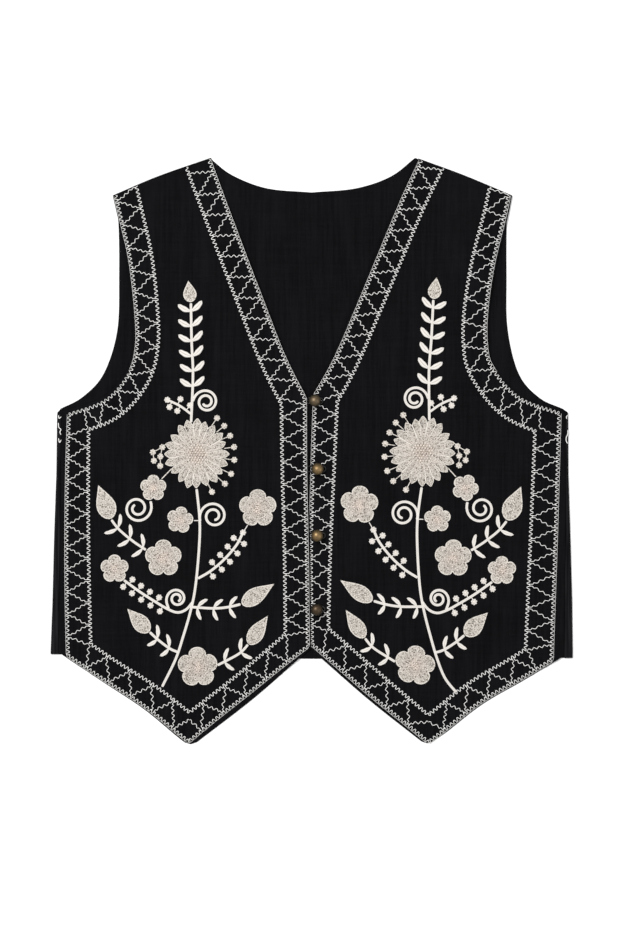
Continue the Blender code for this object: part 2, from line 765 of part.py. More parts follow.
for old in list(bpy.data.objects):
    bpy.data.objects.remove(old)

vest = bpy.data.collections.new("embroidered_folk_vest")
bpy.context.scene.collection.children.link(vest)
vest_origin = bpy.data.objects.new("vest_origin", None)
vest.objects.link(vest_origin)

black_cotton = material_named("black_cotton", (0.012, 0.012, 0.015), 0.92)
ivory_thread = material_named("ivory_thread", (0.72, 0.67, 0.61), 0.6)
antique_brass = material_named("antique_brass", (0.34, 0.23, 0.12), 0.42, metallic=1.0)
black_cord = material_named("black_cord", (0.01, 0.01, 0.012), 0.7)

add_back()
fronts = {side: add_front(side) for side in SIDES}

for side in SIDES:
    on_front = top_of(fronts[side])
    for piece, motifs, cuts in spray_pieces():
        made = add_embroidery(piece, side, motifs, cuts, on_front)
        if piece == "daisy":
            on_daisy = top_of(made)
    eye = (ring(DAISY_CENTRE, EYE_RADIUS, 14), ring(DAISY_CENTRE, EYE_CROWN, 6))
    add_embroidery("daisy_eye", side, [eye], [], on_daisy)

on_right = top_of(fronts["right"])
left_outline = outline_points(FRONT_OUTLINE, "left", OUTLINE_STEP)
for index, (x, y) in enumerate(BUTTON_PLACES, 1):
    add_button(index, x, y, on_right)
    add_loop(index, x, y, on_right, left_outline)

for piece in vest.objects:
    if piece.type == "MESH":
        piece.data.shade_smooth()
        piece.data.set_sharp_from_angle(angle=math.radians(40))
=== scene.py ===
"""An embroidered folk vest, laid flat with its fronts up.

The sizes are in millimetres and MM turns them into Blender's metres. The origin is on the surface
under the vest, with the neck towards +Y. "left" and "right" are as the vest is seen from above.
"""

import math
import random

import bpy
from mathutils import Matrix, Vector, geometry, noise
from mathutils.bvhtree import BVHTree
from mathutils.kdtree import KDTree


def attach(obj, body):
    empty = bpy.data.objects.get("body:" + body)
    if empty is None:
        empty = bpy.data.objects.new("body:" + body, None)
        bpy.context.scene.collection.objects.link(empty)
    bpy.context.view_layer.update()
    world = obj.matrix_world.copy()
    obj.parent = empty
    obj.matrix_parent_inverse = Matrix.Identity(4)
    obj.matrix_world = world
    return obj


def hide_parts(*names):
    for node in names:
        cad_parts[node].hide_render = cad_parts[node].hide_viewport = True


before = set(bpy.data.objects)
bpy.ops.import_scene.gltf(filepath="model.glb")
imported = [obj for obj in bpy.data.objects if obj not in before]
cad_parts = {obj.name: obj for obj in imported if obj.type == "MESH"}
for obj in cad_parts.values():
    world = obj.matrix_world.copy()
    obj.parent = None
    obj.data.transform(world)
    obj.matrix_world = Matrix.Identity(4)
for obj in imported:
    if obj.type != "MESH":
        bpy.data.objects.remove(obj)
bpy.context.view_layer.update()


# The back ------------------------------------------------------------------------------------------
# One piece of black cotton, lying inside up. Its sides are folded round over the fronts' side seams,
# and its neck and armholes are turned in, so that their edges are round and a little thicker.

MM = 0.001
SIDES = ("left", "right")
CLOTH = 1.2
GAP = 0.3
STACK = CLOTH + GAP

# Half outlines, neck to underarm: run, left x, y, right x, y. Each run is a smooth curve.
BACK_OUTLINE = (
    ("neck", 0.0, 237.7, 0.0, 237.7),
    ("neck", -41.0, 241.5, 41.0, 241.5),
    ("neck", -73.0, 253.6, 73.0, 252.4),
    ("neck", -92.8, 268.6, 95.4, 269.6),
    ("shoulder", -182.0, 233.9, 183.6, 233.9),
    ("armhole", -178.0, 212.0, 180.0, 212.0),
    ("armhole", -177.2, 160.0, 179.6, 160.0),
    ("armhole", -179.0, 110.0, 180.6, 112.0),
    ("armhole", -191.5, 70.6, 190.9, 70.6),
    ("armhole", -211.0, 49.2, 210.0, 48.5),
    ("armhole", -231.0, 38.6, 231.6, 38.4),
)
BACK_HEM = -191.8

# Where the back folds round: y, left x and right x of the vest's edge there, then the fold's ends.
SIDE_FOLD = (
    (36.0, -234.2, 236.2),
    (-20.0, -234.9, 236.5),
    (-80.0, -237.0, 238.4),
    (-140.0, -238.5, 240.0),
    (-190.0, -240.4, 240.6),
)
FOLD_TOP = 36.0
FOLD_FOOT = {"left": -187.5, "right": -191.0}
FOLD_ROUNDING = 3.2
FOLD_ROWS = 40
FOLD_STEPS = 7
# The side edges of the two fronts, which the folded strips stop beside: y, left x, right x.
SIDE_SEAM = ((35.5, -230.0, 233.6), (-76.0, -231.3, 233.6), (-187.0, -232.8, 232.4))

# A panel's edge: distance inwards, and the share of the wall's half thickness there.
EDGE_ROLL = ((0.0, 0.0), (0.2, 0.6), (0.6, 0.92), (1.2, 1.0))
CLOTH_STEP = 5.0
SPOT_STEP = 0.7
# The turned edge: how far in its stitched groove lies, and how much higher the cloth stands outside
# it. Then the cloth's own unevenness: how high it rises, and how long it is across and along.
TURNING = 5.5
TURNING_SLOPE = 1.2
TURNING_RISE = 0.12
RIPPLE = 0.14
RIPPLE_ACROSS = 16.0
RIPPLE_ALONG = 42.0


def smoothstep(low, high, value):
    share = min(1.0, max(0.0, (value - low) / (high - low)))
    return share * share * (3 - 2 * share)


def catmull_rom(points, step):
    """A smooth curve through the points, sampled about every `step`, with both of its ends."""
    knots = [Vector(point) for point in points]
    knots = [2 * knots[0] - knots[1], *knots, 2 * knots[-1] - knots[-2]]
    curve = []
    for before, start, end, after in zip(knots, knots[1:], knots[2:], knots[3:]):
        pieces = max(1, round((end - start).length / step))
        for t in (piece / pieces for piece in range(pieces)):
            bend = 2 * before - 5 * start + 4 * end - after
            twist = 3 * start - before - 3 * end + after
            curve.append(0.5 * (2 * start + (end - before) * t + bend * t ** 2 + twist * t ** 3))
    return [*curve, knots[-2]]


def table_runs(table, side, step):
    """Each run of a table's outline on one side, as a smooth curve that starts where the last ended."""
    column = 1 if side == "left" else 3
    rows = [(row[0], Vector(row[column:column + 2])) for row in table]
    runs = []
    run = [rows[0][1]]
    for (name, point), following in zip(rows[1:], [*rows[2:], (None, None)]):
        run.append(point)
        if following[0] != name:
            runs.append(catmull_rom(run, step))
            run = [point]
    return runs


def table_outline(table, side, step):
    """The whole outline of a table on one side."""
    runs = table_runs(table, side, step)
    return [runs[0][0], *(point for run in runs for point in run[1:])]


def interpolated(rows, column, y):
    """The value of one column of a table at y, whose rows go from high y to low."""
    for upper, lower in zip(rows, rows[1:]):
        if y >= lower[0]:
            break
    share = (upper[0] - y) / (upper[0] - lower[0])
    return upper[column] + (lower[column] - upper[column]) * share


def nearness(outline):
    """A function that gives the distance from a point to a closed outline."""
    spots = []
    for start, end in zip(outline, [*outline[1:], outline[0]]):
        pieces = max(1, round((end - start).length / SPOT_STEP))
        spots.extend(start.lerp(end, piece / pieces) for piece in range(pieces))
    tree = KDTree(len(spots))
    for index, spot in enumerate(spots):
        tree.insert(spot.to_3d(), index)
    tree.balance()
    return lambda point: tree.find(point.to_3d())[2]


def contains(outline, point):
    crossed = False
    for a, b in zip(outline, [*outline[1:], outline[0]]):
        if (a.y > point.y) != (b.y > point.y):
            crossed ^= point.x < a.x + (b.x - a.x) * (point.y - a.y) / (b.y - a.y)
    return crossed


def turned_left(outline):
    """The outline in the order that keeps its inside on the left."""
    area = sum(a.cross(b) for a, b in zip(outline, [*outline[1:], outline[0]]))
    return list(outline) if area > 0 else list(reversed(outline))


def inset(outline, by):
    """A left-turned outline moved inwards."""
    moved = []
    for index, point in enumerate(outline):
        before = (point - outline[index - 1]).normalized()
        after = (outline[(index + 1) % len(outline)] - point).normalized()
        way = (before + after).normalized()
        moved.append(point + Vector((-way.y, way.x)) * by / max(0.6, way.dot(before)))
    return moved


def grid_inside(outline, spacing, margin, jitter=0.0, draws=None):
    """Points of a triangular grid inside an outline, at least a margin from it."""
    low_x, high_x = min(p.x for p in outline), max(p.x for p in outline)
    low_y, high_y = min(p.y for p in outline), max(p.y for p in outline)
    rise = spacing * math.sqrt(3) / 2
    away = nearness(outline)
    points = []
    for row in range(int((high_y - low_y) / rise) + 2):
        for column in range(int((high_x - low_x) / spacing) + 2):
            point = Vector((low_x + spacing * (column - 0.5 * (row % 2)), low_y + rise * row))
            if jitter:
                point += Vector((draws.uniform(-jitter, jitter), draws.uniform(-jitter, jitter)))
            if contains(outline, point) and away(point) >= margin:
                points.append(point)
    return points


def triangulated(outline, rings, inner, lines=()):
    """Points and triangles of an outline's inside. A point's label is its ring's number, or None."""
    points = []
    edges = []
    labels = []
    for number, ring in enumerate(rings):
        base = len(points)
        points.extend(ring)
        labels.extend([number] * len(ring))
        edges.extend((base + index, base + (index + 1) % len(ring)) for index in range(len(ring)))
    for line in lines:
        edges.extend((index, index + 1) for index in range(len(points), len(points) + len(line) - 1))
        points.extend(line)
    points.extend(inner)
    first = list(range(len(outline)))
    found, _, faces, origins, _, _ = geometry.delaunay_2d_cdt(points, edges, [first], 1, 1e-3)
    marks = []
    for origin in origins:
        ring_marks = [labels[index] for index in origin if index < len(labels)]
        marks.append(min(ring_marks) if ring_marks else None)
    return found, faces, marks


def made_object(name, points, faces, finish):
    """A smooth mesh of points in millimetres."""
    data = bpy.data.meshes.new(name)
    data.from_pydata([tuple(value * MM for value in point) for point in points], [], faces)
    data.materials.append(finish)
    data.shade_smooth()
    data.validate()
    made = bpy.data.objects.new(name, data)
    bpy.context.scene.collection.objects.link(made)
    return made


def keep_values(piece, name, values):
    """Keeps a value for each point of a piece under this name, for its finish to read."""
    piece.data.attributes.new(name, "FLOAT", "POINT").data.foreach_set("value", values)


def cloth_panel(name, outline, lines, surface, finish):
    """A closed wall of cloth with a rolled edge. surface gives a flat point's place and normal."""
    outline = turned_left(outline)
    rings = [inset(outline, distance) for distance, _ in EDGE_ROLL]
    inner = grid_inside(outline, CLOTH_STEP, CLOTH_STEP * 0.7)
    found, faces, marks = triangulated(outline, rings, inner, lines)
    upper = []
    lower = []
    points = []
    for point, mark in zip(found, marks):
        place, normal = surface(point)
        half = CLOTH / 2 * (1.0 if mark is None else EDGE_ROLL[mark][1])
        upper.append(len(points))
        points.append(place + normal * half)
        if half:
            points.append(place - normal * half)
        lower.append(len(points) - 1)
    walls = [tuple(upper[index] for index in face) for face in faces]
    walls += [tuple(lower[index] for index in reversed(face)) for face in faces]
    return made_object(name, points, walls, finish)


class Value:
    """A number that varies over a surface. Python's operators on it add Math nodes."""

    def __init__(self, finish, socket):
        self.finish = finish
        self.socket = socket

    def maths(self, operation, first, second):
        return self.finish.node("ShaderNodeMath", {"operation": operation}, {0: first, 1: second})

    def __add__(self, other):
        return self.maths("ADD", self, other)

    def __sub__(self, other):
        return self.maths("SUBTRACT", self, other)

    def __rsub__(self, other):
        return self.maths("SUBTRACT", other, self)

    def __mul__(self, other):
        return self.maths("MULTIPLY", self, other)

    __radd__ = __add__
    __rmul__ = __mul__

    def sine(self):
        return self.maths("SINE", self, 0.0)


class Finish:
    """A material. Its shader's even values are set here, and its nodes feed what varies."""

    def __init__(self, name, **even):
        self.material = bpy.data.materials.new(name)
        self.material.use_nodes = True
        self.tree = self.material.node_tree
        self.shader = self.tree.nodes["Principled BSDF"]
        for socket, value in even.items():
            self.shader.inputs[socket.replace("_", " ")].default_value = value

    def node(self, kind, settings=None, inputs=None, output=0):
        made = self.tree.nodes.new(kind)
        for setting, value in (settings or {}).items():
            setattr(made, setting, value)
        for socket, value in (inputs or {}).items():
            if isinstance(value, Value):
                self.tree.links.new(value.socket, made.inputs[socket])
            else:
                made.inputs[socket].default_value = value
        return Value(self, made.outputs[output])

    def place(self):
        return self.node("ShaderNodeTexCoord", output="Object")

    def stretched(self, place, scale):
        return self.node("ShaderNodeVectorMath", {"operation": "MULTIPLY"}, {0: place, 1: scale})

    def noise(self, place, scale, detail=2.0, roughness=0.5):
        sockets = {"Vector": place, "Scale": scale, "Detail": detail, "Roughness": roughness}
        return self.node("ShaderNodeTexNoise", None, sockets)

    def mixed(self, factor, first, second):
        sockets = {0: factor, 6: (*first, 1.0) if isinstance(first, tuple) else first}
        sockets[7] = (*second, 1.0) if isinstance(second, tuple) else second
        return self.node("ShaderNodeMix", {"data_type": "RGBA"}, sockets, 2)

    def ramped(self, value, low, high):
        """The value's share of the way from low to high, kept between 0 and 1."""
        sockets = {0: value, 1: low, 2: high}
        return self.node("ShaderNodeMapRange", {"interpolation_type": "SMOOTHSTEP"}, sockets)

    def feed(self, socket, value):
        self.tree.links.new(value.socket, self.shader.inputs[socket])

    def bump(self, height, strength, distance):
        sockets = {"Strength": strength, "Distance": distance * MM, "Height": height}
        self.feed("Normal", self.node("ShaderNodeBump", None, sockets))


def cotton_cloth():
    """Plain woven black cotton: crossing yarns, thick and thin places along them, and faint lint.

    The folded strips ("folded") have paler streaks: partly wear, partly painted light on their creases.
    """
    yarn = 0.00085
    finish = Finish("black_cotton", Sheen_Weight=0.012, Sheen_Roughness=0.5, Specular_IOR_Level=0.035)
    place = finish.place()
    across = finish.node("ShaderNodeSeparateXYZ", None, {0: place}, 0)
    along = finish.node("ShaderNodeSeparateXYZ", None, {0: place}, 1)
    weave = (across * (2 * math.pi / yarn)).sine() * (along * (2 * math.pi / yarn)).sine()
    warp = finish.noise(finish.stretched(place, (1500.0, 70.0, 60.0)), 1.0, 3.0)
    weft = finish.noise(finish.stretched(place, (160.0, 1500.0, 60.0)), 1.0, 3.0)
    slub = warp * 0.6 + weft * 0.4
    long_warp = finish.noise(finish.stretched(place, (380.0, 14.0, 20.0)), 1.0, 3.0, 0.6)
    long_weft = finish.noise(finish.stretched(place, (18.0, 420.0, 20.0)), 1.0, 3.0, 0.6)
    streaks = finish.noise(finish.stretched(place, (70.0, 7.0, 20.0)), 1.0, 4.0, 0.6)
    cloud = finish.noise(place, 22.0, 4.0, 0.65)
    folded = finish.node("ShaderNodeAttribute", {"attribute_name": "folded"}, None, "Fac")
    crease_light_and_wear = finish.noise(finish.stretched(place, (520.0, 16.0, 20.0)), 1.0, 2.0)
    lint = finish.ramped(finish.noise(place, 900.0, 1.0), 0.78, 0.86)
    yarns = finish.ramped(slub * 0.42 + long_warp * 0.4 + long_weft * 0.18, 0.33, 0.67)
    shade = finish.mixed(yarns, (0.0021, 0.0021, 0.0026), (0.0056, 0.0056, 0.0065))
    shade = finish.mixed(finish.ramped(streaks, 0.44, 0.74) * 0.5, shade, (0.0068, 0.0066, 0.0078))
    shade = finish.mixed(finish.ramped(cloud, 0.46, 0.7) * 0.4, shade, (0.0022, 0.0022, 0.0024))
    # Paler streaks on the folded strips: partly wear, partly painted light on their creases.
    shade = finish.mixed(folded * finish.ramped(crease_light_and_wear, 0.34, 0.68) * 0.85, shade, (0.0135, 0.0132, 0.0148))
    finish.feed("Base Color", finish.mixed(lint * 0.25, shade, (0.03, 0.03, 0.032)))
    finish.feed("Roughness", slub * 0.2 + 0.78)
    finish.bump(weave * 0.5 + slub * 1.2, 0.35, 0.12)
    return finish.material


black_cotton = cotton_cloth()


def fold_start(side, y):
    """How far out the back lies flat before it folds round."""
    return abs(interpolated(SIDE_FOLD, 1 if side == "left" else 2, y)) - CLOTH - GAP / 2


def seam_place(side, y):
    """How far out the edge of the folded strip lies, beside the front's side edge."""
    return abs(interpolated(SIDE_SEAM, 1 if side == "left" else 2, y)) + GAP


def ripple(point, seed):
    """The cloth's own slight unevenness, longer along the warp than across it."""
    return RIPPLE * noise.noise(Vector((point.x / RIPPLE_ACROSS, point.y / RIPPLE_ALONG, seed)))


def turned_edge(distance):
    """A turned edge stands a little proud, up to the groove where it is stitched down."""
    return TURNING_RISE * (1 - smoothstep(TURNING - TURNING_SLOPE, TURNING, distance))


def back_surface(point):
    """Where a point of the flat cut lies: on the surface, round the fold, or on the folded strip."""
    side = "left" if point.x < 0 else "right"
    outwards = math.copysign(1.0, point.x)
    start = fold_start(side, point.y)
    beyond = abs(point.x) - start
    if beyond <= 0:
        return Vector((point.x, point.y, CLOTH / 2)), Vector((0, 0, 1))
    radius = STACK / 2
    turn = min(math.pi, beyond / radius)
    past = max(0.0, beyond - math.pi * radius)
    across = outwards * (start + radius * math.sin(turn) - past)
    height = CLOTH / 2 + radius * (1 - math.cos(turn))
    pleats = 0.25 * math.sin(past * 1.9 + 0.4) * smoothstep(0.6, 2.0, past)
    normal = Vector((-outwards * math.sin(turn), 0, math.cos(turn)))
    return Vector((across, point.y, height + pleats)), normal


def back_outline_and_lines():
    """The back's flat cut with both strips opened out, and the lines that it folds round on."""
    arc = math.pi * STACK / 2
    halves = {}
    lines = []
    for side, outwards in zip(SIDES, (-1, 1)):
        foot = FOLD_FOOT[side]
        folds = []
        for step in range(FOLD_STEPS + 1):
            shift = arc * step / FOLD_STEPS
            top = FOLD_TOP - FOLD_ROUNDING * (step / FOLD_STEPS) ** 2
            rows = [top + (foot - top) * row / FOLD_ROWS for row in range(FOLD_ROWS + 1)]
            folds.append([Vector((outwards * (fold_start(side, y) + shift), y)) for y in rows])
        edge = [2 * fold_start(side, y) + arc - seam_place(side, y) for y in rows]
        edge = [Vector((outwards * x, y)) for x, y in zip(edge, rows)]
        lines.extend(fold[1:-1] for fold in folds)
        top = [fold[0] for fold in folds]
        end = [fold[-1] for fold in reversed(folds)]
        halves[side] = [*table_outline(BACK_OUTLINE, side, CLOTH_STEP), *top, *edge, *end]
    steps = int(2 * abs(halves["left"][-1].x) / CLOTH_STEP)
    left, right = halves["left"][-1], halves["right"][-1]
    hem = [left.lerp(right, step / steps) for step in range(1, steps)]
    for point in hem:
        point.y += (BACK_HEM - point.y) * smoothstep(0, 60, min(point.x - left.x, right.x - point.x))
    return [*halves["left"], *hem, *reversed(halves["right"][1:])], lines


outline, lines = back_outline_and_lines()
back = cloth_panel("back_cloth", outline, lines, back_surface, black_cotton)
keep_values(back, "folded", [float(vertex.co.z > 0.9 * STACK * MM) for vertex in back.data.vertices])
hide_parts("back")
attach(back, "root")


# The fronts ----------------------------------------------------------------------------------------
# Two panels of the same black cotton, turned in and stitched down all round, each with its lower end
# cut to a point. They are sewn to the back at the shoulders and the side seams. Worn cloth lies in
# soft creases, and the left front's centre edge rides up over the right front's.

FRONT_OUTLINE = (
    ("shoulder", -92.5, 269.5, 98.5, 268.8),
    ("shoulder", -141.0, 252.6, 141.0, 253.2),
    ("shoulder", -183.0, 234.8, 184.8, 234.8),
    ("armhole", -177.8, 212.5, 180.2, 212.5),
    ("armhole", -169.3, 173.4, 170.0, 170.0),
    ("armhole", -164.1, 124.0, 163.8, 128.0),
    ("armhole", -164.2, 95.0, 163.3, 98.5),
    ("armhole", -171.5, 71.5, 168.5, 78.0),
    ("armhole", -192.5, 48.7, 192.0, 50.4),
    ("armhole", -230.0, 35.5, 233.6, 34.0),
    ("side", -231.3, -75.0, 233.6, -78.0),
    ("side", -232.8, -185.6, 232.4, -189.2),
    ("outer hem", -195.5, -211.0, 196.5, -211.0),
    ("outer hem", -155.5, -237.4, 157.8, -233.4),
    ("outer hem", -126.0, -261.6, 124.0, -259.6),
    ("tip", -116.6, -269.0, 110.5, -268.6),
    ("tip", -111.2, -270.4, 106.0, -269.6),
    ("tip", -105.6, -268.6, 101.0, -267.8),
    ("inner hem", -52.0, -227.2, 50.5, -227.8),
    ("inner hem", -0.5, -181.8, -1.4, -182.0),
    ("centre edge", -1.0, -100.0, -2.2, -100.0),
    ("centre edge", -2.6, -20.0, -0.9, -20.0),
    ("centre edge", -3.0, 48.0, 0.7, 52.0),
    ("neck edge", -23.0, 88.0, 20.2, 88.0),
    ("neck edge", -44.5, 143.0, 43.6, 143.0),
    ("neck edge", -76.3, 226.0, 78.3, 226.0),
    ("neck edge", -92.5, 269.5, 98.5, 268.8),
)

# A front's underside comes down to the surface between these lines, just past the back's hem.
STEP_TOP = -193.0
STEP_FOOT = -206.0
# The left front's centre edge rides up over the right front's between these lines.
LAP_INNER = -17.0
LAP_OUTER = -5.0
LAP_START = 84.0
LAP_FULL = 50.0

# Creases: side, x and y of one end, x and y of the other, half width, rise. A wide one has the rise
# of the panel's main form, and a narrow one is a line that the cloth was once folded or pressed on.
CREASES = (
    ("left", -152.0, 232.0, -140.0, 70.0, 22.0, 0.9),
    ("left", -95.0, 215.0, -72.0, 70.0, 20.0, 0.7),
    ("left", -196.0, 20.0, -200.0, -120.0, 22.0, 0.9),
    ("left", -62.0, 20.0, -30.0, -20.0, 20.0, 0.7),
    ("left", -88.0, -40.0, -78.0, -180.0, 24.0, 0.6),
    ("right", 148.0, 226.0, 138.0, 60.0, 22.0, 0.8),
    ("right", 98.0, 180.0, 92.0, 40.0, 20.0, 0.8),
    ("right", 200.0, 10.0, 197.0, -140.0, 22.0, 0.8),
    ("right", 62.0, 0.0, 42.0, -120.0, 20.0, 0.7),
    ("right", 150.0, -70.0, 140.0, -190.0, 24.0, 0.6),
    ("left", -124.7, 214.0, -121.5, 160.0, 5.0, 0.6),
    ("left", -139.0, 98.0, -125.0, 66.0, 6.0, 0.75),
    ("left", -152.0, 36.0, -147.0, 4.0, 5.0, 0.56),
    ("left", -64.0, 8.0, -28.0, 1.0, 4.5, 0.5),
    ("left", -178.0, -14.0, -186.0, -96.0, 6.0, 0.56),
    ("left", -63.0, -96.0, -46.0, -156.0, 6.0, -0.45),
    ("left", -176.0, -150.0, -160.0, -196.0, 6.0, 0.56),
    ("right", 94.0, 166.0, 101.0, 74.0, 6.5, 0.75),
    ("right", 112.0, 190.0, 117.0, 132.0, 5.0, -0.5),
    ("right", 133.0, 60.0, 152.0, 26.0, 6.0, 0.65),
    ("right", 66.0, 28.0, 38.0, 12.0, 5.0, 0.5),
    ("right", 184.0, -30.0, 187.0, -104.0, 6.0, 0.56),
    ("right", 54.0, -110.0, 66.0, -168.0, 6.0, -0.45),
    ("right", 168.0, -142.0, 150.0, -200.0, 6.0, 0.5),
)
CREASE_FADE = 26.0

# Along the neck and the armholes the edge stands off the back a little, more towards their middles.
# It does so between these heights: where that begins and is full, from below and from above.
EDGE_LIFT = 1.3
EDGE_LIFT_WIDTH = 16.0
LIFT_FROM_BELOW = (82, 112)
LIFT_FROM_ABOVE = (236, 190)


def lifted(point):
    """The share of the edge's rise off the back at a place: none at the shoulder, the lap and below the
    armhole.
    """
    return smoothstep(*LIFT_FROM_BELOW, point.y) * smoothstep(*LIFT_FROM_ABOVE, point.y)


def crease_height(side, point):
    """How much all the creases of a front raise it at a point."""
    height = 0.0
    for crease_side, x, y, far_x, far_y, half_width, rise in CREASES:
        if crease_side == side:
            start = Vector((x, y))
            along = Vector((far_x, far_y)) - start
            share = min(1.0, max(0.0, (point - start).dot(along) / along.length_squared))
            away = (start + along * share - point).length / half_width
            height += rise * math.exp(-away * away)
    return height


def front_surface(side):
    """A function that gives a point's place on the laid front, and which way the cloth faces."""
    edge = nearness(table_outline(FRONT_OUTLINE, side, 1.0))

    def surface(point):
        distance = edge(point)
        on_back = smoothstep(STEP_FOOT, STEP_TOP, point.y)
        height = CLOTH / 2 + STACK * on_back
        if side == "left":
            across = smoothstep(LAP_INNER, LAP_OUTER, point.x)
            height += STACK * across * smoothstep(LAP_START, LAP_FULL, point.y)
        worn = crease_height(side, point) + ripple(point, 3.0 if side == "left" else 8.0)
        height += worn * smoothstep(0, CREASE_FADE, distance) * on_back
        height += EDGE_LIFT * (1 - smoothstep(0, EDGE_LIFT_WIDTH, distance)) * lifted(point)
        return Vector((*point, height + turned_edge(distance))), Vector((0, 0, 1))

    return surface


def top_of(thing):
    """The height of the object's upper face at a point."""
    bpy.context.view_layer.update()
    tree = BVHTree.FromObject(thing, bpy.context.evaluated_depsgraph_get())

    def height(point):
        above = Vector((point[0] * MM, point[1] * MM, 0.02))
        hit = tree.ray_cast(above, Vector((0, 0, -1)))[0] or tree.find_nearest(above)[0]
        return hit.z / MM

    return height


seats = {}
for side in SIDES:
    outline = table_outline(FRONT_OUTLINE, side, CLOTH_STEP)[:-1]
    lines = []
    for y in (STEP_TOP, (STEP_TOP + STEP_FOOT) / 2, STEP_FOOT):
        lines.append([Vector((x, y)) for x in range(-240, 241, 6)])
    front = cloth_panel(f"front_{side}_cloth", outline, lines, front_surface(side), black_cotton)
    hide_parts(f"front_{side}")
    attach(front, "root")
    seats[side] = top_of(front)


# The border stitching ------------------------------------------------------------------------------
# A band of ivory thread round each front, worked by machine in a soft cotton cord: a close zigzag
# row next to the edge, held by a straight row, a second zigzag row about 20 mm inside it, and a net
# of wavy lines between the two.

# Each run of the border, from the shoulder down the neck edge and round to the armhole: how far its
# outer row lies from the cloth's edge at its start, middle and end, then how wide the band is there.
BORDER = {
    "left": (
        ("neck edge", (2.4, 3.1, 3.0), (22.0, 21.5, 21.5)),
        ("centre edge", (3.2, 3.4, 3.0), (21.5, 20.5, 20.5)),
        ("inner hem", (3.2, 6.8, 5.4), (21.6, 19.4, 20.4)),
        ("outer hem", (3.2, 2.7, 2.6), (21.4, 20.4, 20.6)),
        ("side", (8.8, 5.9, 7.1), (21.2, 20.2, 18.2)),
        ("armhole", (4.4, 3.4, 2.6), (18.4, 19.4, 20.6)),
    ),
    "right": (
        ("neck edge", (3.0, 3.8, 3.2), (21.0, 20.0, 20.4)),
        ("centre edge", (2.8, 1.8, 2.0), (20.5, 18.5, 14.5)),
        ("inner hem", (4.2, 4.8, 3.8), (20.6, 20.4, 18.8)),
        ("outer hem", (3.0, 3.0, 3.0), (19.8, 20.4, 21.4)),
        ("side", (11.6, 9.0, 5.7), (24.0, 23.0, 21.6)),
        ("armhole", (1.6, 3.4, 3.4), (22.6, 20.0, 18.6)),
    ),
}
SHOULDER_MARGIN = 1.0
RUN_REACH = 40.0

# The net's turns on each run: first distance, pitch and count on the outer row, the same on the inner
# row, and how deep between the rows the turn at the run's end lies.
NET = {
    "left": (
        (12.7, 20.6, 11, 27.3, 20.3, 11, None),
        (6.5, 20.7, 11, 11.3, 20.75, 10, 0.92),
        (23.0, 25.3, 5, 23.2, 25.5, 4, 0.74),
        (19.2, 24.3, 5, 18.1, 24.4, 4, 0.92),
        (17.5, 20.5, 10, 17.5, 20.5, 9, 0.92),
        (15.6, 16.9, 12, 11.6, 24.1, 12, None),
    ),
    "right": (
        (7.5, 21.15, 11, 20.6, 20.9, 11, None),
        (6.5, 20.4, 11, 11.3, 20.45, 10, 0.86),
        (12.8, 25.7, 5, 22.3, 25.6, 4, 0.74),
        (18.5, 25.0, 5, 19.5, 24.8, 4, 0.92),
        (15.0, 21.1, 10, 17.0, 20.95, 9, 0.8),
        (18.8, 18.4, 12, 12.7, 24.9, 12, None),
    ),
}
# Round an armhole each pitch is longer than the last by twice this on the outer and the inner row.
ARMHOLE_GROWTH = {"left": (0.24, -0.17), "right": (0.145, -0.25)}
# Where the net's line begins on the inner row, from the shoulder.
NET_START = {"left": 6.0, "right": 1.5}

# Half width and height of each kind of thread. The outer row's teeth swell on the side away from the
# straight row.
INNER_THREAD = (0.34, 0.8)
TOOTH_WIDTH = 0.285
TOOTH_SWELL = 0.07
TOOTH_RISE = 0.8
STRAIGHT_THREAD = (0.13, 0.3)
NET_THREAD = (0.29, 0.65)
STRIP_THREAD = (0.42, 0.7)

# A row's points, and places on a row, are worked out this far apart.
ROW_STEP = 2.0
PLACE_STEP = 0.5
ZIGZAG_PITCH = 3.95
ZIGZAG_STEPS = 6
# A zigzag's turns: the power that makes them fuller than a sine wave's, and the height that they
# reach then, which is divided out.
TURN_POWER = 0.9
TURN_PEAK = 0.88
INNER_SWING = 1.38
# How far each front's outer zigzag swings, and how far outside its middle the straight row lies.
OUTER_SWING = {"left": 1.35, "right": 1.4}
STRAIGHT_OFFSET = {"left": 1.75, "right": 1.95}
# The straight row stops at the underarm and begins again this far up the armhole.
STRAIGHT_START = 72.0
NET_WAVE = 5.4
NET_SWING = {
    "neck edge": 1.0, "centre edge": 0.8, "inner hem": 1.1, "outer hem": 1.1, "side": 0.8, "armhole": 0.85,
}
# At a turn on each row: half the space between the net's two lines, and how far they run squarely.
OUTER_TURN = (1.35, 3.3)
INNER_TURN = (0.95, 3.9)
CLEAR = 0.02

# Sections of a thread, a cord and a stem's band: place across it, height and how well it is lit.
THREAD_SECTION = ((-1.0, 0.0, 0.0), (-0.85, 0.62, 0.7), (0.0, 1.0, 1.0), (0.85, 0.62, 0.7), (1.0, 0.0, 0.0))
CORD_SECTION = (
    (-1.0, 0.0, 0.0), (-0.94, 0.48, 0.55), (-0.55, 0.9, 0.9), (0.0, 1.0, 1.0),
    (0.55, 0.9, 0.9), (0.94, 0.48, 0.55), (1.0, 0.0, 0.0),
)


def evenly(curve, step, closed=False):
    """Points about every step along a curve, each with the curve's way there."""
    knots = [*curve, curve[0]] if closed else list(curve)
    lengths = [(end - start).length for start, end in zip(knots, knots[1:])]
    count = max(2, round(sum(lengths) / step))
    spaced = []
    index = 0
    passed = 0.0
    for number in range(count if closed else count + 1):
        target = sum(lengths) * number / count
        while index < len(lengths) - 1 and passed + lengths[index] < target:
            passed += lengths[index]
            index += 1
        way = (knots[index + 1] - knots[index]).normalized()
        spaced.append((knots[index] + way * (target - passed), way))
    return spaced


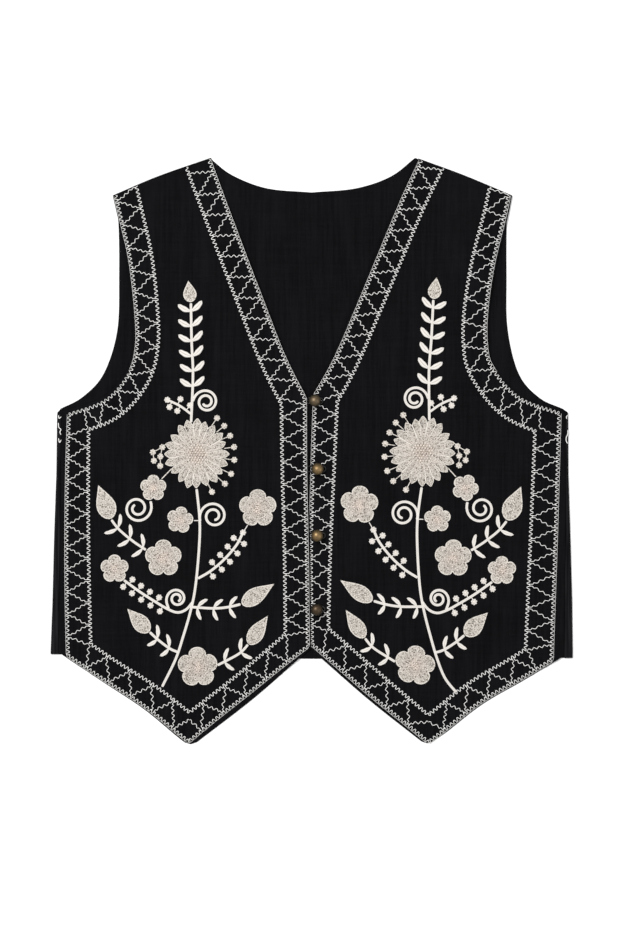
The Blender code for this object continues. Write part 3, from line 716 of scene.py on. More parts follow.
class Threadwork:
    """Raised threads gathered into one mesh, each lying on the cloth."""

    def __init__(self, seat, placed=Vector):
        self.seat = seat
        self.placed = placed
        self.points = []
        self.threads = []
        self.faces = []

    def lay(self, path, half_width, height, section, closed=False, blunt=0.5, warmth=0.0):
        """A thread along a path. half_width may be a function of the share of its length."""
        path = [self.placed(point) for point in path]
        steps = [(end - start).length for start, end in zip(path, path[1:])]
        length = sum(steps)
        along = 0.0
        base = len(self.points)
        for index, point in enumerate(path):
            last = len(path) - 1
            before = path[index - 1] if closed or index else point
            after = path[(index + 1) % len(path)] if closed or index < last else point
            way = (after - before).normalized()
            half = half_width(along / length) if callable(half_width) else half_width
            shrunk = 1.0
            if not closed:
                end = min(1.0, min(along, length - along) / (half * 0.9))
                shrunk = blunt + (1 - blunt) * math.sqrt(end * (2 - end))
            bottom = self.seat(point) + CLEAR
            for across, rise, lit_share in section:
                swung = Vector((-way.y, way.x)) * half * across * shrunk
                self.points.append((*(point + swung), bottom + height * rise * (0.4 + 0.6 * shrunk)))
                self.threads.append((along, across * half, lit_share, warmth))
            if index < last:
                along += steps[index]
        size = len(section)
        rings = [list(range(base + ring * size, base + ring * size + size)) for ring in range(len(path))]
        for start, end in zip(rings, [*rings[1:], rings[0]] if closed else rings[1:]):
            for side in range(size):
                beside = (side + 1) % size
                self.faces.append((start[side], end[side], end[beside], start[beside]))
        if not closed:
            self.faces.extend((tuple(rings[0]), tuple(reversed(rings[-1]))))

    def made(self, name, nodes, finish):
        """The threads as one piece of the vest."""
        piece = made_object(name, self.points, self.faces, finish)
        # Each point keeps its place along and across its thread, its share of painted light, and its warmth.
        for index, attribute in enumerate(("along", "across", "lit_share", "warmth")):
            keep_values(piece, attribute, [thread[index] for thread in self.threads])
        if nodes:
            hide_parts(*nodes)
        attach(piece, "root")


def ivory_finish(name, shade, painted_shade, warm, ply, pit_shade_weight=0.0):
    """Matt plied cotton cord, a little hairy, with painted shade low on each thread and in small pits."""
    finish = Finish(name, Sheen_Weight=0.25, Sheen_Roughness=0.45, Specular_IOR_Level=0.25)
    place = finish.place()
    values = [
        finish.node("ShaderNodeAttribute", {"attribute_name": attribute}, None, "Fac")
        for attribute in ("along", "across", "lit_share", "warmth")
    ]
    along, across, lit_share, warmth = values
    turns = (along * (2 * math.pi / ply) + across * 2.6).sine()
    fibres = finish.noise(finish.stretched(place, (2600.0, 2600.0, 900.0)), 1.0, 2.0)
    dye = finish.noise(place, 160.0, 2.0)
    tone = finish.mixed(finish.ramped(warmth, 0.0, 1.0), shade, warm)
    tone = finish.mixed(finish.ramped(dye, 0.3, 0.75) * 0.3, tone, tuple(value * 0.82 for value in shade))
    # Small specks of painted shade, for the gaps between threads.
    painted_pit_shade = finish.ramped(finish.noise(place, 820.0, 2.0), 0.53, 0.66) * pit_shade_weight
    # Painted shade: each point's share of light, kept on the thread, takes the colour from the dark shade
    # colour up to the thread's tone.
    painted_lighting = finish.ramped(lit_share + turns * 0.07 + fibres * 0.16 - painted_pit_shade, 0.12, 1.0)
    finish.feed("Base Color", finish.mixed(painted_lighting, painted_shade, tone))
    finish.feed("Roughness", fibres * 0.25 + 0.66)
    finish.bump(turns * 0.6 + fibres * 0.5, 0.55, 0.14)
    return finish.material


border_thread = ivory_finish("border_thread", (0.86, 0.85, 0.825), (0.17, 0.17, 0.165), (0.8, 0.7, 0.62), 1.3)


def zigzag(curve, swing):
    """A zigzag with rounded turns along a curve."""
    line = evenly(curve, ZIGZAG_PITCH / ZIGZAG_STEPS)
    path = []
    for index, (point, way) in enumerate(line):
        wave = math.sin(2 * math.pi * index / ZIGZAG_STEPS)
        wave = math.copysign(abs(wave) ** TURN_POWER, wave) / TURN_PEAK
        path.append(point + Vector((-way.y, way.x)) * swing * wave)
    return path


def bowed(start, middle, end, share):
    """The value at a share of a run that has these values at its start, middle and end."""
    return start + (end - start) * share + (middle - (start + end) / 2) * 4 * share * (1 - share)


def beside(edge, distance, inwards):
    """A run of the cloth's edge moved inwards by distance(share), and carried on past both ends."""
    line = evenly(edge, ROW_STEP)
    moved = []
    for index, (point, way) in enumerate(line):
        moved.append(point + Vector((-way.y, way.x)) * inwards * distance(index / (len(line) - 1)))
    first = moved[0] + (moved[0] - moved[2]).normalized() * RUN_REACH
    last = moved[-1] + (moved[-1] - moved[-3]).normalized() * RUN_REACH
    return [first, *moved, last]


def crossing(line, other):
    """Where two lines cross: the stretch of each one, and the place."""
    for index, (start, end) in enumerate(zip(line, line[1:])):
        for other_index, (other_start, other_end) in enumerate(zip(other, other[1:])):
            place = geometry.intersect_line_line_2d(start, end, other_start, other_end)
            if place:
                return index, other_index, place
    raise ValueError("the runs of a border do not meet")


def joined_runs(lines):
    """Each line cut where it crosses the one before it and the one after it."""
    runs = []
    place = None
    first = 0
    for line, following in zip(lines, [*lines[1:], None]):
        kept = [] if place is None else [place]
        if following is None:
            runs.append([*kept, *line[first + 1:]])
            break
        index, next_first, next_place = crossing(line, following)
        runs.append([*kept, *line[first + 1:index + 1], next_place])
        place, first = next_place, next_first
    return runs


def border_rows(side):
    """The runs of the outer and the inner row of one front, both cut off short of the shoulder."""
    inwards = -1 if side == "left" else 1
    names = list(dict.fromkeys(row[0] for row in FRONT_OUTLINE[1:]))
    edges = dict(zip(names, table_runs(FRONT_OUTLINE, side, ROW_STEP)))
    shoulder = beside(edges["shoulder"], lambda share: SHOULDER_MARGIN, -inwards)
    rows = []
    for widened in (0, 1):
        lines = [shoulder]
        for name, insets, widths in BORDER[side]:
            def distance(share):
                return bowed(*insets, share) + widened * bowed(*widths, share)

            lines.append(beside(list(reversed(edges[name])), distance, inwards))
        rows.append(joined_runs([*lines, shoulder])[1:-1])
    return rows


def row_place(run, distance):
    """The place at a distance along a run, and the run's way there."""
    line = evenly(run, PLACE_STEP)
    return line[min(len(line) - 1, round(distance / PLACE_STEP))]


def net_turns(side, outer, inner):
    """Every turn of the net's line: its place on a row, the row's way, and the way into the band."""
    left_hand = -1 if side == "left" else 1
    turns = []

    def add(run, distance, outwards, swing):
        point, way = row_place(run, distance)
        into = Vector((-way.y, way.x)) * left_hand * outwards
        turns.append((point, way, into, swing, *(OUTER_TURN if outwards > 0 else INNER_TURN)))

    add(inner[0], NET_START[side], -1, NET_SWING["neck edge"])
    for (name, *_), run, far_run, row in zip(BORDER[side], outer, inner, NET[side]):
        first, pitch, count, far_first, far_pitch, far_count, corner = row
        growth, far_growth = ARMHOLE_GROWTH[side] if name == "armhole" else (0.0, 0.0)
        for index in range(count):
            add(run, first + (pitch + growth * index) * index, 1, NET_SWING[name])
            if index < far_count:
                place = far_first + (far_pitch + far_growth * index) * index
                add(far_run, place, -1, NET_SWING[name])
        if corner is not None:
            into = (run[-1] - far_run[-1]).normalized()
            way = Vector((into.y, -into.x)) * left_hand
            turns.append((run[-1].lerp(far_run[-1], corner), way, into, NET_SWING[name], 0.0, 0.0))
    return turns


def net_line(start, end):
    """One line of the net. It leaves a row squarely, waves about its chord and joins the other."""
    point, way, into, swing, spread, stub = start
    far_point, far_way, far_into, far_swing, far_spread, far_stub = end
    first = point + way * spread
    last = far_point - far_way * far_spread
    from_stub = first + into * stub
    chord = last + far_into * far_stub - from_stub
    across = Vector((-chord.y, chord.x)).normalized()
    across *= math.copysign((swing + far_swing) / 2, into.cross(chord))
    halves = 2 * max(2, round(chord.length / NET_WAVE))
    corners = [first, from_stub] if stub else [first]
    for half in range(halves):
        corners.append(from_stub + chord * (half + 0.5) / halves + across * (-1) ** half)
    corners.append(from_stub + chord)
    if far_stub:
        corners.append(last)
    return catmull_rom(corners, 0.75)


def joined(runs):
    """Runs that meet end to end, as one line."""
    return [runs[0][0], *(point for run in runs for point in run[1:])]


# Short lengths of the zigzag that come through on the folded strips, near their upper ends.
STRIP_STITCHES = {
    "left": (
        ((-232.8, 32.4), (-232.2, 29.6), (-230.2, 31.3)),
        ((-232.9, 25.4), (-232.5, 21.4), (-230.6, 19.4), (-231.5, 17.0), (-230.6, 14.4)),
        ((-232.8, 11.2), (-231.8, 7.4), (-230.3, 10.0)),
    ),
    "right": (
        ((235.9, 32.4), (234.6, 31.2), (234.8, 29.0)),
        ((235.9, 18.9), (235.8, 15.2), (234.4, 12.0), (234.4, 8.7), (235.7, 6.4)),
    ),
}

for side in SIDES:
    outer, inner = border_rows(side)
    left_hand = -1 if side == "left" else 1
    rows = Threadwork(seats[side])
    rows.lay(zigzag(joined(inner), INNER_SWING), *INNER_THREAD, THREAD_SECTION)
    teeth = zigzag(joined(outer), OUTER_SWING[side])
    tooth_count = (len(teeth) - 1) / ZIGZAG_STEPS

    def tooth_width(share):
        return TOOTH_WIDTH + TOOTH_SWELL * left_hand * math.sin(2 * math.pi * tooth_count * share)

    rows.lay(teeth, tooth_width, TOOTH_RISE, THREAD_SECTION)
    upper_armhole = [point for point, _ in evenly(outer[-1], ROW_STEP)][round(STRAIGHT_START / ROW_STEP):]
    for line in (joined(outer[:-1]), upper_armhole):
        straight = [
            point - Vector((-way.y, way.x)) * left_hand * STRAIGHT_OFFSET[side]
            for point, way in evenly(line, ROW_STEP)
        ]
        rows.lay(straight, *STRAIGHT_THREAD, THREAD_SECTION)
    rows.made(f"border_rows_{side}", (), border_thread)
    net = Threadwork(seats[side])
    turns = net_turns(side, outer, inner)
    for start, end in zip(turns, turns[1:]):
        net.lay(net_line(start, end), *NET_THREAD, THREAD_SECTION)
    net.made(f"border_net_{side}", (), border_thread)

    loose = Threadwork(top_of(back))
    for stitch in STRIP_STITCHES[side]:
        loose.lay(catmull_rom(stitch, 0.6), *STRIP_THREAD, THREAD_SECTION)
    loose.made(f"strip_stitches_{side}", (), border_thread)


# The flower sprays ---------------------------------------------------------------------------------
# Raised embroidery in ivory cotton, one spray on each front. The right one mirrors the left, a touch
# larger and slightly turned. Stems, curls and leaflets are bands of chain stitch, and the flowers and
# buds are padded, filled with small loops of thread and corded round their edges.

# Points of the left spray are in the vest's own frame.
LEFT_SPRAY_MIDDLE = (-118.0, -82.6)
RIGHT_SPRAY_MIDDLE = (112.3, -81.9)
RIGHT_SPRAY_SIZE = 1.01
RIGHT_SPRAY_TURN = -1.8
# The right spray's lower branches lean further: millimetres down for each one out from its stem,
# and where that begins and is complete.
RIGHT_SPRAY_LEAN = 0.065
LEAN_START = -110.0
LEAN_FULL = -185.0

STEMS = {
    "sprig": ((-110.8, 24.0), (-109.0, 69.5), (-110.2, 99.0), (-111.0, 140.0)),
    "main": (
        (-106.2, -30.0), (-102.8, -65.0), (-103.7, -94.0), (-107.0, -127.0),
        (-111.5, -148.6), (-118.0, -171.0), (-125.0, -192.0),
    ),
    "berry sprig": ((-110.8, 33.5), (-121.0, 41.0), (-132.6, 46.6)),
    "berry branch": ((-104.5, -117.8), (-93.0, -111.0), (-80.5, -100.4), (-69.0, -87.0), (-63.0, -75.5)),
    "low branch": (
        (-108.9, -139.0), (-115.2, -146.2), (-123.0, -149.0), (-132.0, -146.0),
        (-144.2, -138.8), (-158.2, -129.8), (-174.0, -118.2),
    ),
    "upper twig": ((-146.0, -95.2), (-155.2, -89.6), (-165.3, -82.6), (-177.6, -72.0), (-186.5, -60.0)),
    "right twig": ((-110.0, -144.0), (-90.0, -145.2), (-75.5, -143.8), (-60.0, -140.0)),
    "left twig": ((-122.0, -185.8), (-130.0, -182.4), (-141.0, -174.2), (-152.0, -164.0)),
    "lower twig": ((-93.0, -200.8), (-79.4, -193.9), (-65.2, -185.8), (-55.6, -175.0)),
}
# The foot of the main stem, which bends out further in the right spray.
STEM_FEET = {"left": ((-137.5, -217.5),), "right": ((-132.6, -208.6), (-143.0, -220.6))}
STEM_WIDTH = 2.5
TWIG_WIDTH = 2.4
BERRY_SPRIG_WIDTH = 2.3
BAND_STEP = 0.9
# Width and height of the thin cords that hold berries and blossoms.
LINK = (1.0, 0.8)
RING_LINK = (0.9, 0.7)
BLOSSOM_LINK = (1.1, 0.8)

# Pairs of leaflets: stem, first and last distance along it, pairs, then for its left and its right
# side the length and the angle away from the way that the stem runs. The sprig's are broader.
LEAFLETS = (
    ("sprig", 35.0, 104.0, 6, 13.6, 61.0, 14.0, 46.0),
    ("upper twig", 10.5, 40.0, 3, 13.4, 68.0, 13.4, 50.0),
    ("right twig", 5.0, 34.5, 3, 12.2, 42.0, 12.0, 68.0),
    ("left twig", 9.8, 23.6, 2, 11.2, 72.0, 13.2, 47.0),
    ("lower twig", 14.5, 32.0, 2, 13.2, 45.0, 12.0, 68.0),
)
LEAFLET_WIDTH = 3.9
SPRIG_LEAFLET_WIDTH = 5.3
LEAFLET_BOW = 1.0
# How wide a leaflet is along its length: share of its length, share of its full width.
LEAFLET_SHAPE = ((0.0, 0.42), (0.45, 1.0), (0.8, 0.8), (1.0, 0.3))

# Berries along a stem: stem, first distance, pitch, count, and the offset to its left.
STEM_BERRIES = (
    ("berry branch", 19.8, 10.7, 4, 5.6),
    ("berry branch", 12.6, 9.8, 5, -5.4),
    ("berry branch", 60.5, 1.0, 1, 0.0),
    ("low branch", 40.2, 10.0, 4, -5.2),
    ("low branch", 33.0, 10.0, 5, 5.3),
    ("berry sprig", 5.7, 9.4, 2, -5.7),
    ("berry sprig", 12.2, 8.8, 2, 5.2),
    ("berry sprig", 25.5, 1.0, 1, 0.0),
)
BERRY_RADIUS = 3.0
BERRY_KNOTS = 7

# Clockwise curls: centre x and y, first and last radius, start angle, turns, and how evenly they
# wind in, less than 1 being faster at first.
CURLS = {
    "sprig": (-96.8, 44.8, 12.4, 3.4, 178.0, 1.9, 0.7),
    "blossom": (-160.3, -53.2, 14.0, 3.7, 32.0, 1.75, 0.8),
    "main": (-89.8, -60.2, 13.6, 3.7, 202.0, 1.8, 0.8),
    "low": (-123.8, -136.2, 12.2, 2.8, 232.0, 1.85, 0.5),
}

# Five-petal blossoms: centre x and y, radius, and the angle of one petal in each spray.
BLOSSOMS = (
    (-145.5, -34.5, 12.3, {"left": 90.0, "right": 113.0}),
    (-121.0, -63.9, 12.4, {"left": 80.0, "right": 86.0}),
    (-49.4, -53.2, 17.6, {"left": 90.0, "right": 92.0}),
    (-136.3, -99.1, 17.2, {"left": 90.0, "right": 90.0}),
    (-181.1, -108.8, 13.2, {"left": 90.0, "right": 88.0}),
    (-104.7, -199.3, 18.7, {"left": 92.0, "right": 94.0}),
)

# Buds: base x and y, tip x and y, width. The shape is half the width at shares of the length.
BUD_SHAPE = (
    (0.0, 0.16), (0.05, 0.5), (0.15, 0.8), (0.26, 0.95), (0.37, 1.0),
    (0.5, 0.9), (0.62, 0.72), (0.75, 0.47), (0.88, 0.22), (0.96, 0.08),
)
BUDS = (
    (-111.0, 136.4, -113.4, 156.4, 12.6),
    (-184.4, -62.8, -196.2, -31.6, 18.2),
    (-63.8, -141.6, -34.0, -122.5, 15.8),
    (-149.4, -167.0, -169.6, -145.5, 15.6),
    (-57.6, -178.2, -39.9, -151.7, 15.0),
)

# The daisy, its knotted eye, and the berries on thin links round it.
DAISY_CENTRE = (-105.6, -3.2)
DAISY_RADII = (30.8, 33.4)
DAISY_PETALS = 20
# How far a petal may turn in degrees, and how much shorter than the rest it may be.
PETAL_TURN = 2.4
PETAL_SHORTER = 0.075
# How wide a petal is towards its tip: share of its length, share of its full width.
PETAL_TIP = ((0.8, 1.0), (0.86, 0.86), (0.905, 0.62), (0.95, 0.34), (0.98, 0.12))
EYE_RADIUS = 10.0
# Berries round the daisy's right: angle in degrees and distance from its middle.
RING_BERRIES = (
    (60.5, 38.0), (45.5, 36.2), (28.5, 35.0), (10.5, 35.0),
    (-9.0, 35.0), (-30.0, 36.6), (-46.5, 37.8), (-68.0, 37.6),
)
SIDE_BERRIES = ((-137.2, 3.0), (-139.0, -5.6), (-139.2, -14.2), (-145.9, -1.6), (-144.9, -9.4))
BERRY_CHAIN = ((0, 3), (3, 4), (0, 1), (1, 2))
CHAIN_START = (-133.0, 6.5)

STEM_LINKS = ((-121.0, -64.5, -102.8, -64.5), (-63.0, -75.5, -52.0, -58.0))
DAISY_LINK = (-145.5, -34.0, -126.0, -14.0)

# Heights above the cloth, and the distance that one thread stops short of another motif.
PAD = 0.7
RIM = 1.3
STEM_RISE = 1.3
KNOT_RISE = 1.45
PART = 0.3
# A knot's rings: share of its radius, share of its height, and how well it is lit there.
KNOT_RINGS = ((1.0, 0.0, 0.35), (0.92, 0.5, 0.75), (0.5, 0.92, 1.0))
# The padding's domed edge: distance inwards, and the share of its height there. Its points inside.
PAD_EDGE = ((0.0, 0.0), (0.45, 0.75), (1.1, 1.0))
PAD_GRID = (3.2, 2.6)
# How far a petal's cord lies inside the petal's edge, nearer its middle and nearer its tip.
PETAL_CORD = ((0.42, (0.32, 0.45, 0.6, 0.73, 0.8)), (0.34, (0.86, 0.905, 0.95)))

BAND_SECTION = (
    (-1.0, 0.0, 0.0), (-0.97, 0.5, 0.5), (-0.74, 0.94, 0.95), (-0.42, 1.0, 1.0), (0.0, 0.74, 0.45),
    (0.42, 1.0, 1.0), (0.74, 0.94, 0.95), (0.97, 0.5, 0.5), (1.0, 0.0, 0.0),
)


def polar(radius, degrees):
    """A step of this length in this direction."""
    angle = math.radians(degrees)
    return Vector((radius * math.cos(angle), radius * math.sin(angle)))


def place_on(curve, distance):
    """The point at a distance along a curve, and the heading of the curve there in degrees."""
    for start, end in zip(curve, curve[1:]):
        length = (end - start).length
        if distance <= length or end is curve[-1]:
            break
        distance -= length
    way = (end - start) / length
    return start + way * distance, math.degrees(math.atan2(way.y, way.x))


def laid_point(point, side):
    """A point of the left spray, or its place on the right front."""
    if side == "left":
        return Vector(point)
    middle = LEFT_SPRAY_MIDDLE
    out = point[0] - interpolated([(y, x) for x, y in STEMS["main"]], 1, point[1])
    lean = RIGHT_SPRAY_LEAN * smoothstep(LEAN_START, LEAN_FULL, point[1]) * out
    mirrored = Vector((middle[0] - point[0], point[1] + lean - middle[1])) * RIGHT_SPRAY_SIZE
    return Matrix.Rotation(math.radians(RIGHT_SPRAY_TURN), 2) @ mirrored + Vector(RIGHT_SPRAY_MIDDLE)


class Embroidery(Threadwork):
    """Threadwork with knots, loops and padding, kept clear of other motifs."""

    def __init__(self, seat, placed, spaces=()):
        super().__init__(seat, placed)
        self.spaces = [(space, nearness(space)) for space in spaces]
        self.draws = random.Random(11)

    def dulled(self):
        """How well a loop is lit: some lie deeper than the rest, and None is a gap between loops."""
        return self.draws.choice((1.0, 0.9, 0.85, 0.8, 0.75, 0.65, 0.5, None))

    def free(self, point, margin):
        return all(not contains(space, point) and away(point) > margin for space, away in self.spaces)

    def band(self, curve, width=STEM_WIDTH, rise=STEM_RISE):
        """A band of chain stitch, or a thin cord, broken where it would meet another motif."""
        run = []
        for point, _ in [*evenly(curve, BAND_STEP), (None, None)]:
            if point is not None and self.free(point, PART):
                run.append(point)
                continue
            if len(run) > 2:
                section = BAND_SECTION if width > 2 else THREAD_SECTION
                self.lay(run, width / 2, rise, section, blunt=0.7)
            run = []

    def knot(self, centre, radius, rise, way=None, stretch=1.0, warmth=0.0, low=0.0, corners=6, shade=1.0):
        """A small dome of thread, drawn out along its way."""
        centre = self.placed(centre)
        base = len(self.points)
        bottom = self.seat(centre) + CLEAR + low
        way = way or Vector((1.0, 0.0))
        for level, (reach, up, lit_share) in enumerate(KNOT_RINGS):
            for corner in range(corners):
                turn = polar(radius * reach, 360 * (corner + 0.5 * level) / corners)
                point = centre + way * turn.x * stretch + Vector((-way.y, way.x)) * turn.y
                self.points.append((*point, bottom + rise * up))
                self.threads.append((corner * 0.5, level * 0.5, lit_share * shade, warmth))
        self.points.append((*centre, bottom + rise))
        self.threads.append((0.0, 0.0, shade, warmth))
        for level in range(2):
            for corner in range(corners):
                beside = (corner + 1) % corners
                low_ring, high_ring = base + level * corners, base + (level + 1) * corners
                self.faces.append((low_ring + corner, low_ring + beside, high_ring + corner))
                self.faces.append((low_ring + beside, high_ring + beside, high_ring + corner))
        for corner in range(corners):
            ring = base + 2 * corners
            self.faces.append((ring + corner, ring + (corner + 1) % corners, base + 3 * corners))
        self.faces.append(tuple(base + corner for corner in reversed(range(corners))))

    def pad(self, outline, warm_centre=None, warm_reach=1.0):
        """Padding under a motif, domed down to its edge."""
        outline = turned_left([self.placed(point) for point in outline])
        rings = [outline, *(inset(outline, distance) for distance, _ in PAD_EDGE[1:])]
        inner = grid_inside(outline, *PAD_GRID)
        found, faces, marks = triangulated(outline, rings, inner)
        base = len(self.points)
        for point, mark in zip(found, marks):
            up = 1.0 if mark is None else PAD_EDGE[mark][1]
            warmth = 0.0
            if warm_centre is not None:
                warmth = max(0.0, 1 - (point - self.placed(warm_centre)).length / warm_reach)
            self.points.append((*point, self.seat(point) + CLEAR + PAD * up))
            # The padding is painted in shade, darker towards its edge, so that it shows dark between the
            # loops.
            self.threads.append((0.0, 0.0, 0.3 + 0.24 * up, warmth))
        lower = {}
        for index, (point, mark) in enumerate(zip(found, marks)):
            if mark == 0:
                lower[index] = base + index
            else:
                lower[index] = len(self.points)
                self.points.append((*point, self.seat(point) + CLEAR))
                self.threads.append((0.0, 0.0, 0.0, 0.0))
        for face in faces:
            self.faces.append(tuple(base + index for index in face))
            self.faces.append(tuple(lower[index] for index in reversed(face)))

    def rim(self, outline, half_width, rise):
        """A cord round a motif, just inside its outline."""
        outline = turned_left(outline)
        path = [point for point, _ in evenly(inset(outline, half_width), 1.0, closed=True)]
        self.lay(path, half_width, rise, CORD_SECTION, closed=True)

    def loops(self, places, centre, reach, size, rise):
        """Small loops of thread that point away from the centre, warmer near it."""
        centre = Vector(centre)
        for place in places:
            out = self.placed(place) - self.placed(centre)
            warmth = max(0.0, 1 - out.length / reach)
            way = (out if out.length > 0.5 else Vector((1.0, 0.0))).normalized()
            way = Matrix.Rotation(self.draws.uniform(-0.5, 0.5), 2) @ way
            width = size * self.draws.uniform(0.85, 1.1)
            height = (rise - PAD + 0.15) * self.draws.uniform(0.8, 1.1)
            shade = self.dulled()
            if shade:
                self.knot(place, width, height, way, 1.35, warmth, PAD - 0.15, shade=shade)

    def berry(self, centre):
        """A round of knots about a higher one."""
        centre = Vector(centre)
        spin = self.draws.uniform(0, 60)
        for knot in range(BERRY_KNOTS):
            place = centre + polar(BERRY_RADIUS - 1.02, spin + 360 * knot / BERRY_KNOTS)
            self.knot(place, 1.08, KNOT_RISE, warmth=0.15)
        self.knot(centre, 1.5, KNOT_RISE + 0.15, warmth=0.15, corners=7)

    def leaflet(self, base, heading, length, width, bow):
        """A bowed leaf of chain stitch, widest at its middle."""
        base = Vector(base)
        along = polar(length, heading)
        across = Vector((-along.y, along.x)).normalized()
        rib = []
        for step in range(15):
            share = step / 14
            rib.append(base + along * (0.04 + 0.96 * share) + across * bow * 4 * share * (1 - share))

        def half_width(share):
            for (low, first), (high, last) in zip(LEAFLET_SHAPE, LEAFLET_SHAPE[1:]):
                if share <= high:
                    break
            return width / 2 * (first + (last - first) * smoothstep(low, high, share))

        self.lay(rib, half_width, STEM_RISE, BAND_SECTION, blunt=0.2)

    def bud(self, base_x, base_y, tip_x, tip_y, width):
        """A closed bud: padding, a cord round it, and rows of loops along it."""
        base = Vector((base_x, base_y))
        along = Vector((tip_x, tip_y)) - base
        across = Vector((-along.y, along.x)).normalized()
        outline = bud_outline(base_x, base_y, tip_x, tip_y, width)
        self.pad(outline)
        self.rim(outline, 0.62, RIM - 0.1)
        away = nearness(outline)
        line = along.normalized()
        for row in range(-3, 4):
            offset = row * 1.95
            steps = int(along.length / 2.5)
            for step in range(1, steps):
                share = step / steps
                place = base + along * (share + 0.02 * (row % 2)) + across * offset * (1 - 0.35 * share)
                if not contains(outline, place) or away(place) < 1.7:
                    continue
                placed = self.placed(place + line) - self.placed(place)
                way = Matrix.Rotation(self.draws.uniform(-0.25, 0.25), 2) @ placed.normalized()
                height = 0.62 * self.draws.uniform(0.8, 1.15)
                shade = self.dulled()
                if shade:
                    self.knot(place, 0.8, height, way, 1.5, 0.1, PAD - 0.12, shade=shade)

    def blossom(self, outline, x, y, radius):
        """Five padded petals filled with loops, round a knotted middle."""
        centre = Vector((x, y))
        self.pad(outline, centre, radius * 0.9)
        self.rim(outline, 0.6, RIM - 0.1)
        away = nearness(outline)
        places = []
        rings = int((radius - 1.0) / 2.0)
        for ring in range(1, rings + 1):
            reach = 1.7 + 2.0 * ring
            count = max(5, round(2 * math.pi * reach / 2.15))
            for index in range(count):
                angle = 360 * (index + 0.5 * (ring % 2)) / count + self.draws.uniform(-3, 3)
                place = centre + polar(reach + self.draws.uniform(-0.25, 0.25), angle)
                if contains(outline, place) and away(place) > 1.55:
                    places.append(place)
        self.loops(places, centre, radius * 0.75, 0.8, RIM - 0.05)
        for knot in range(6):
            self.knot(centre + polar(1.95, 60 * knot + 10), 0.95, 0.75, warmth=0.8, low=PAD - 0.1)
        self.knot(centre, 1.05, 0.95, warmth=0.9, low=PAD - 0.1)

    def daisy(self, outline, petals):
        """Corded petals over padding, round a raised eye of small knots."""
        centre = Vector(DAISY_CENTRE)
        self.pad(outline, centre, EYE_RADIUS * 2.2)
        for petal in petals:
            out = petal_way(*petal)
            side_way = Vector((-out.y, out.x)).normalized()
            stations = [
                (share, petal_room(out, share) - inwards)
                for inwards, shares in PETAL_CORD
                for share in shares
            ]
            right = [centre + out * share - side_way * max(0.3, room) for share, room in stations]
            left = [centre + out * share + side_way * max(0.3, room) for share, room in stations]
            tip = centre + out * (1 - 0.5 / out.length)
            path = [point for point, _ in evenly(catmull_rom([*right, tip, *reversed(left)], 1.0), 1.0)]

            def half_width(share):
                return 0.34 + 0.14 * smoothstep(0.02, 0.3, share) * smoothstep(0.02, 0.3, 1 - share)

            self.lay(path, half_width, RIM, CORD_SECTION, warmth=0.05)
            for step in range(15):
                share = 0.35 + 0.041 * step
                room = petal_room(out, share) - 1.45
                row = (0.0,) if room < 0.7 else (-0.8, 0.8) if room < 1.75 else (-1.55, 0.0, 1.55)
                for offset in row:
                    shade = self.dulled()
                    if not shade or room < -0.3:
                        continue
                    place = centre + out * (share + self.draws.uniform(-0.008, 0.008)) + side_way * offset
                    way = (self.placed(place + out) - self.placed(place)).normalized()
                    way = Matrix.Rotation(self.draws.uniform(-0.4, 0.4), 2) @ way
                    size = 0.5 if room < 0.4 else 0.66
                    warmth = 0.7 - 1.1 * (share - 0.3)
                    rise = 0.56 * self.draws.uniform(0.75, 1.2)
                    self.knot(place, size, rise, way, 1.25, warmth, PAD - 0.12, 5, shade)
        for place in grid_inside(ring_of(centre, EYE_RADIUS, 40), 2.6, 0.2, 0.25, self.draws):
            reach = (place - centre).length / EYE_RADIUS
            warmth = 0.75 - 0.4 * reach ** 2
            dome = 1.0 * math.sqrt(max(0.0, 1 - reach ** 2))
            size = 1.08 * self.draws.uniform(0.85, 1.1)
            shade = self.draws.uniform(0.85, 1.4)
            self.knot(place, size, 1.0 + dome, warmth=warmth, low=PAD - 0.2, shade=shade)


def ring_of(centre, radius, corners):
    """A circle as an outline."""
    return [Vector(centre) + polar(radius, 360 * corner / corners) for corner in range(corners)]


def blossom_outline(x, y, radius, petal_angles, side):
    """Five round petals that meet in notches."""
    outline = []
    for step in range(70):
        angle = 360 * step / 70
        bulge = abs(math.cos(math.radians(2.5 * angle))) ** 0.6
        outline.append(Vector((x, y)) + polar(radius * (0.73 + 0.27 * bulge), petal_angles[side] + angle))
    return outline


def bud_outline(base_x, base_y, tip_x, tip_y, width):
    """A pointed oval, broader towards its base."""
    base = Vector((base_x, base_y))
    along = Vector((tip_x, tip_y)) - base
    across = Vector((-along.y, along.x)).normalized() * width / 2
    right = [base + along * place - across * share for place, share in BUD_SHAPE]
    left = [base + along * place + across * share for place, share in BUD_SHAPE]
    return [*right, base + along, *reversed(left)]


def daisy_petals():
    """Each petal's heading in degrees and its length beside the longest one's. No two are alike."""
    draws = random.Random(4)
    petals = []
    for petal in range(DAISY_PETALS):
        heading = 90 + 360 * petal / DAISY_PETALS + draws.uniform(-PETAL_TURN, PETAL_TURN)
        petals.append((heading, 1 - draws.uniform(0, PETAL_SHORTER)))
    return petals


def petal_way(heading, length):
    """From the daisy's middle to a petal's tip."""
    return polar(length, heading) * Vector(DAISY_RADII)


def petal_room(out, share):
    """Half a petal's width at a share of its length."""
    half = math.tan(math.radians(180 / DAISY_PETALS)) * out.length * min(share, PETAL_TIP[0][0])
    width = 1.0
    for (low, first), (high, last) in zip(PETAL_TIP, PETAL_TIP[1:]):
        if share > low:
            width = first + (last - first) * min(1.0, (share - low) / (high - low))
    return half * width


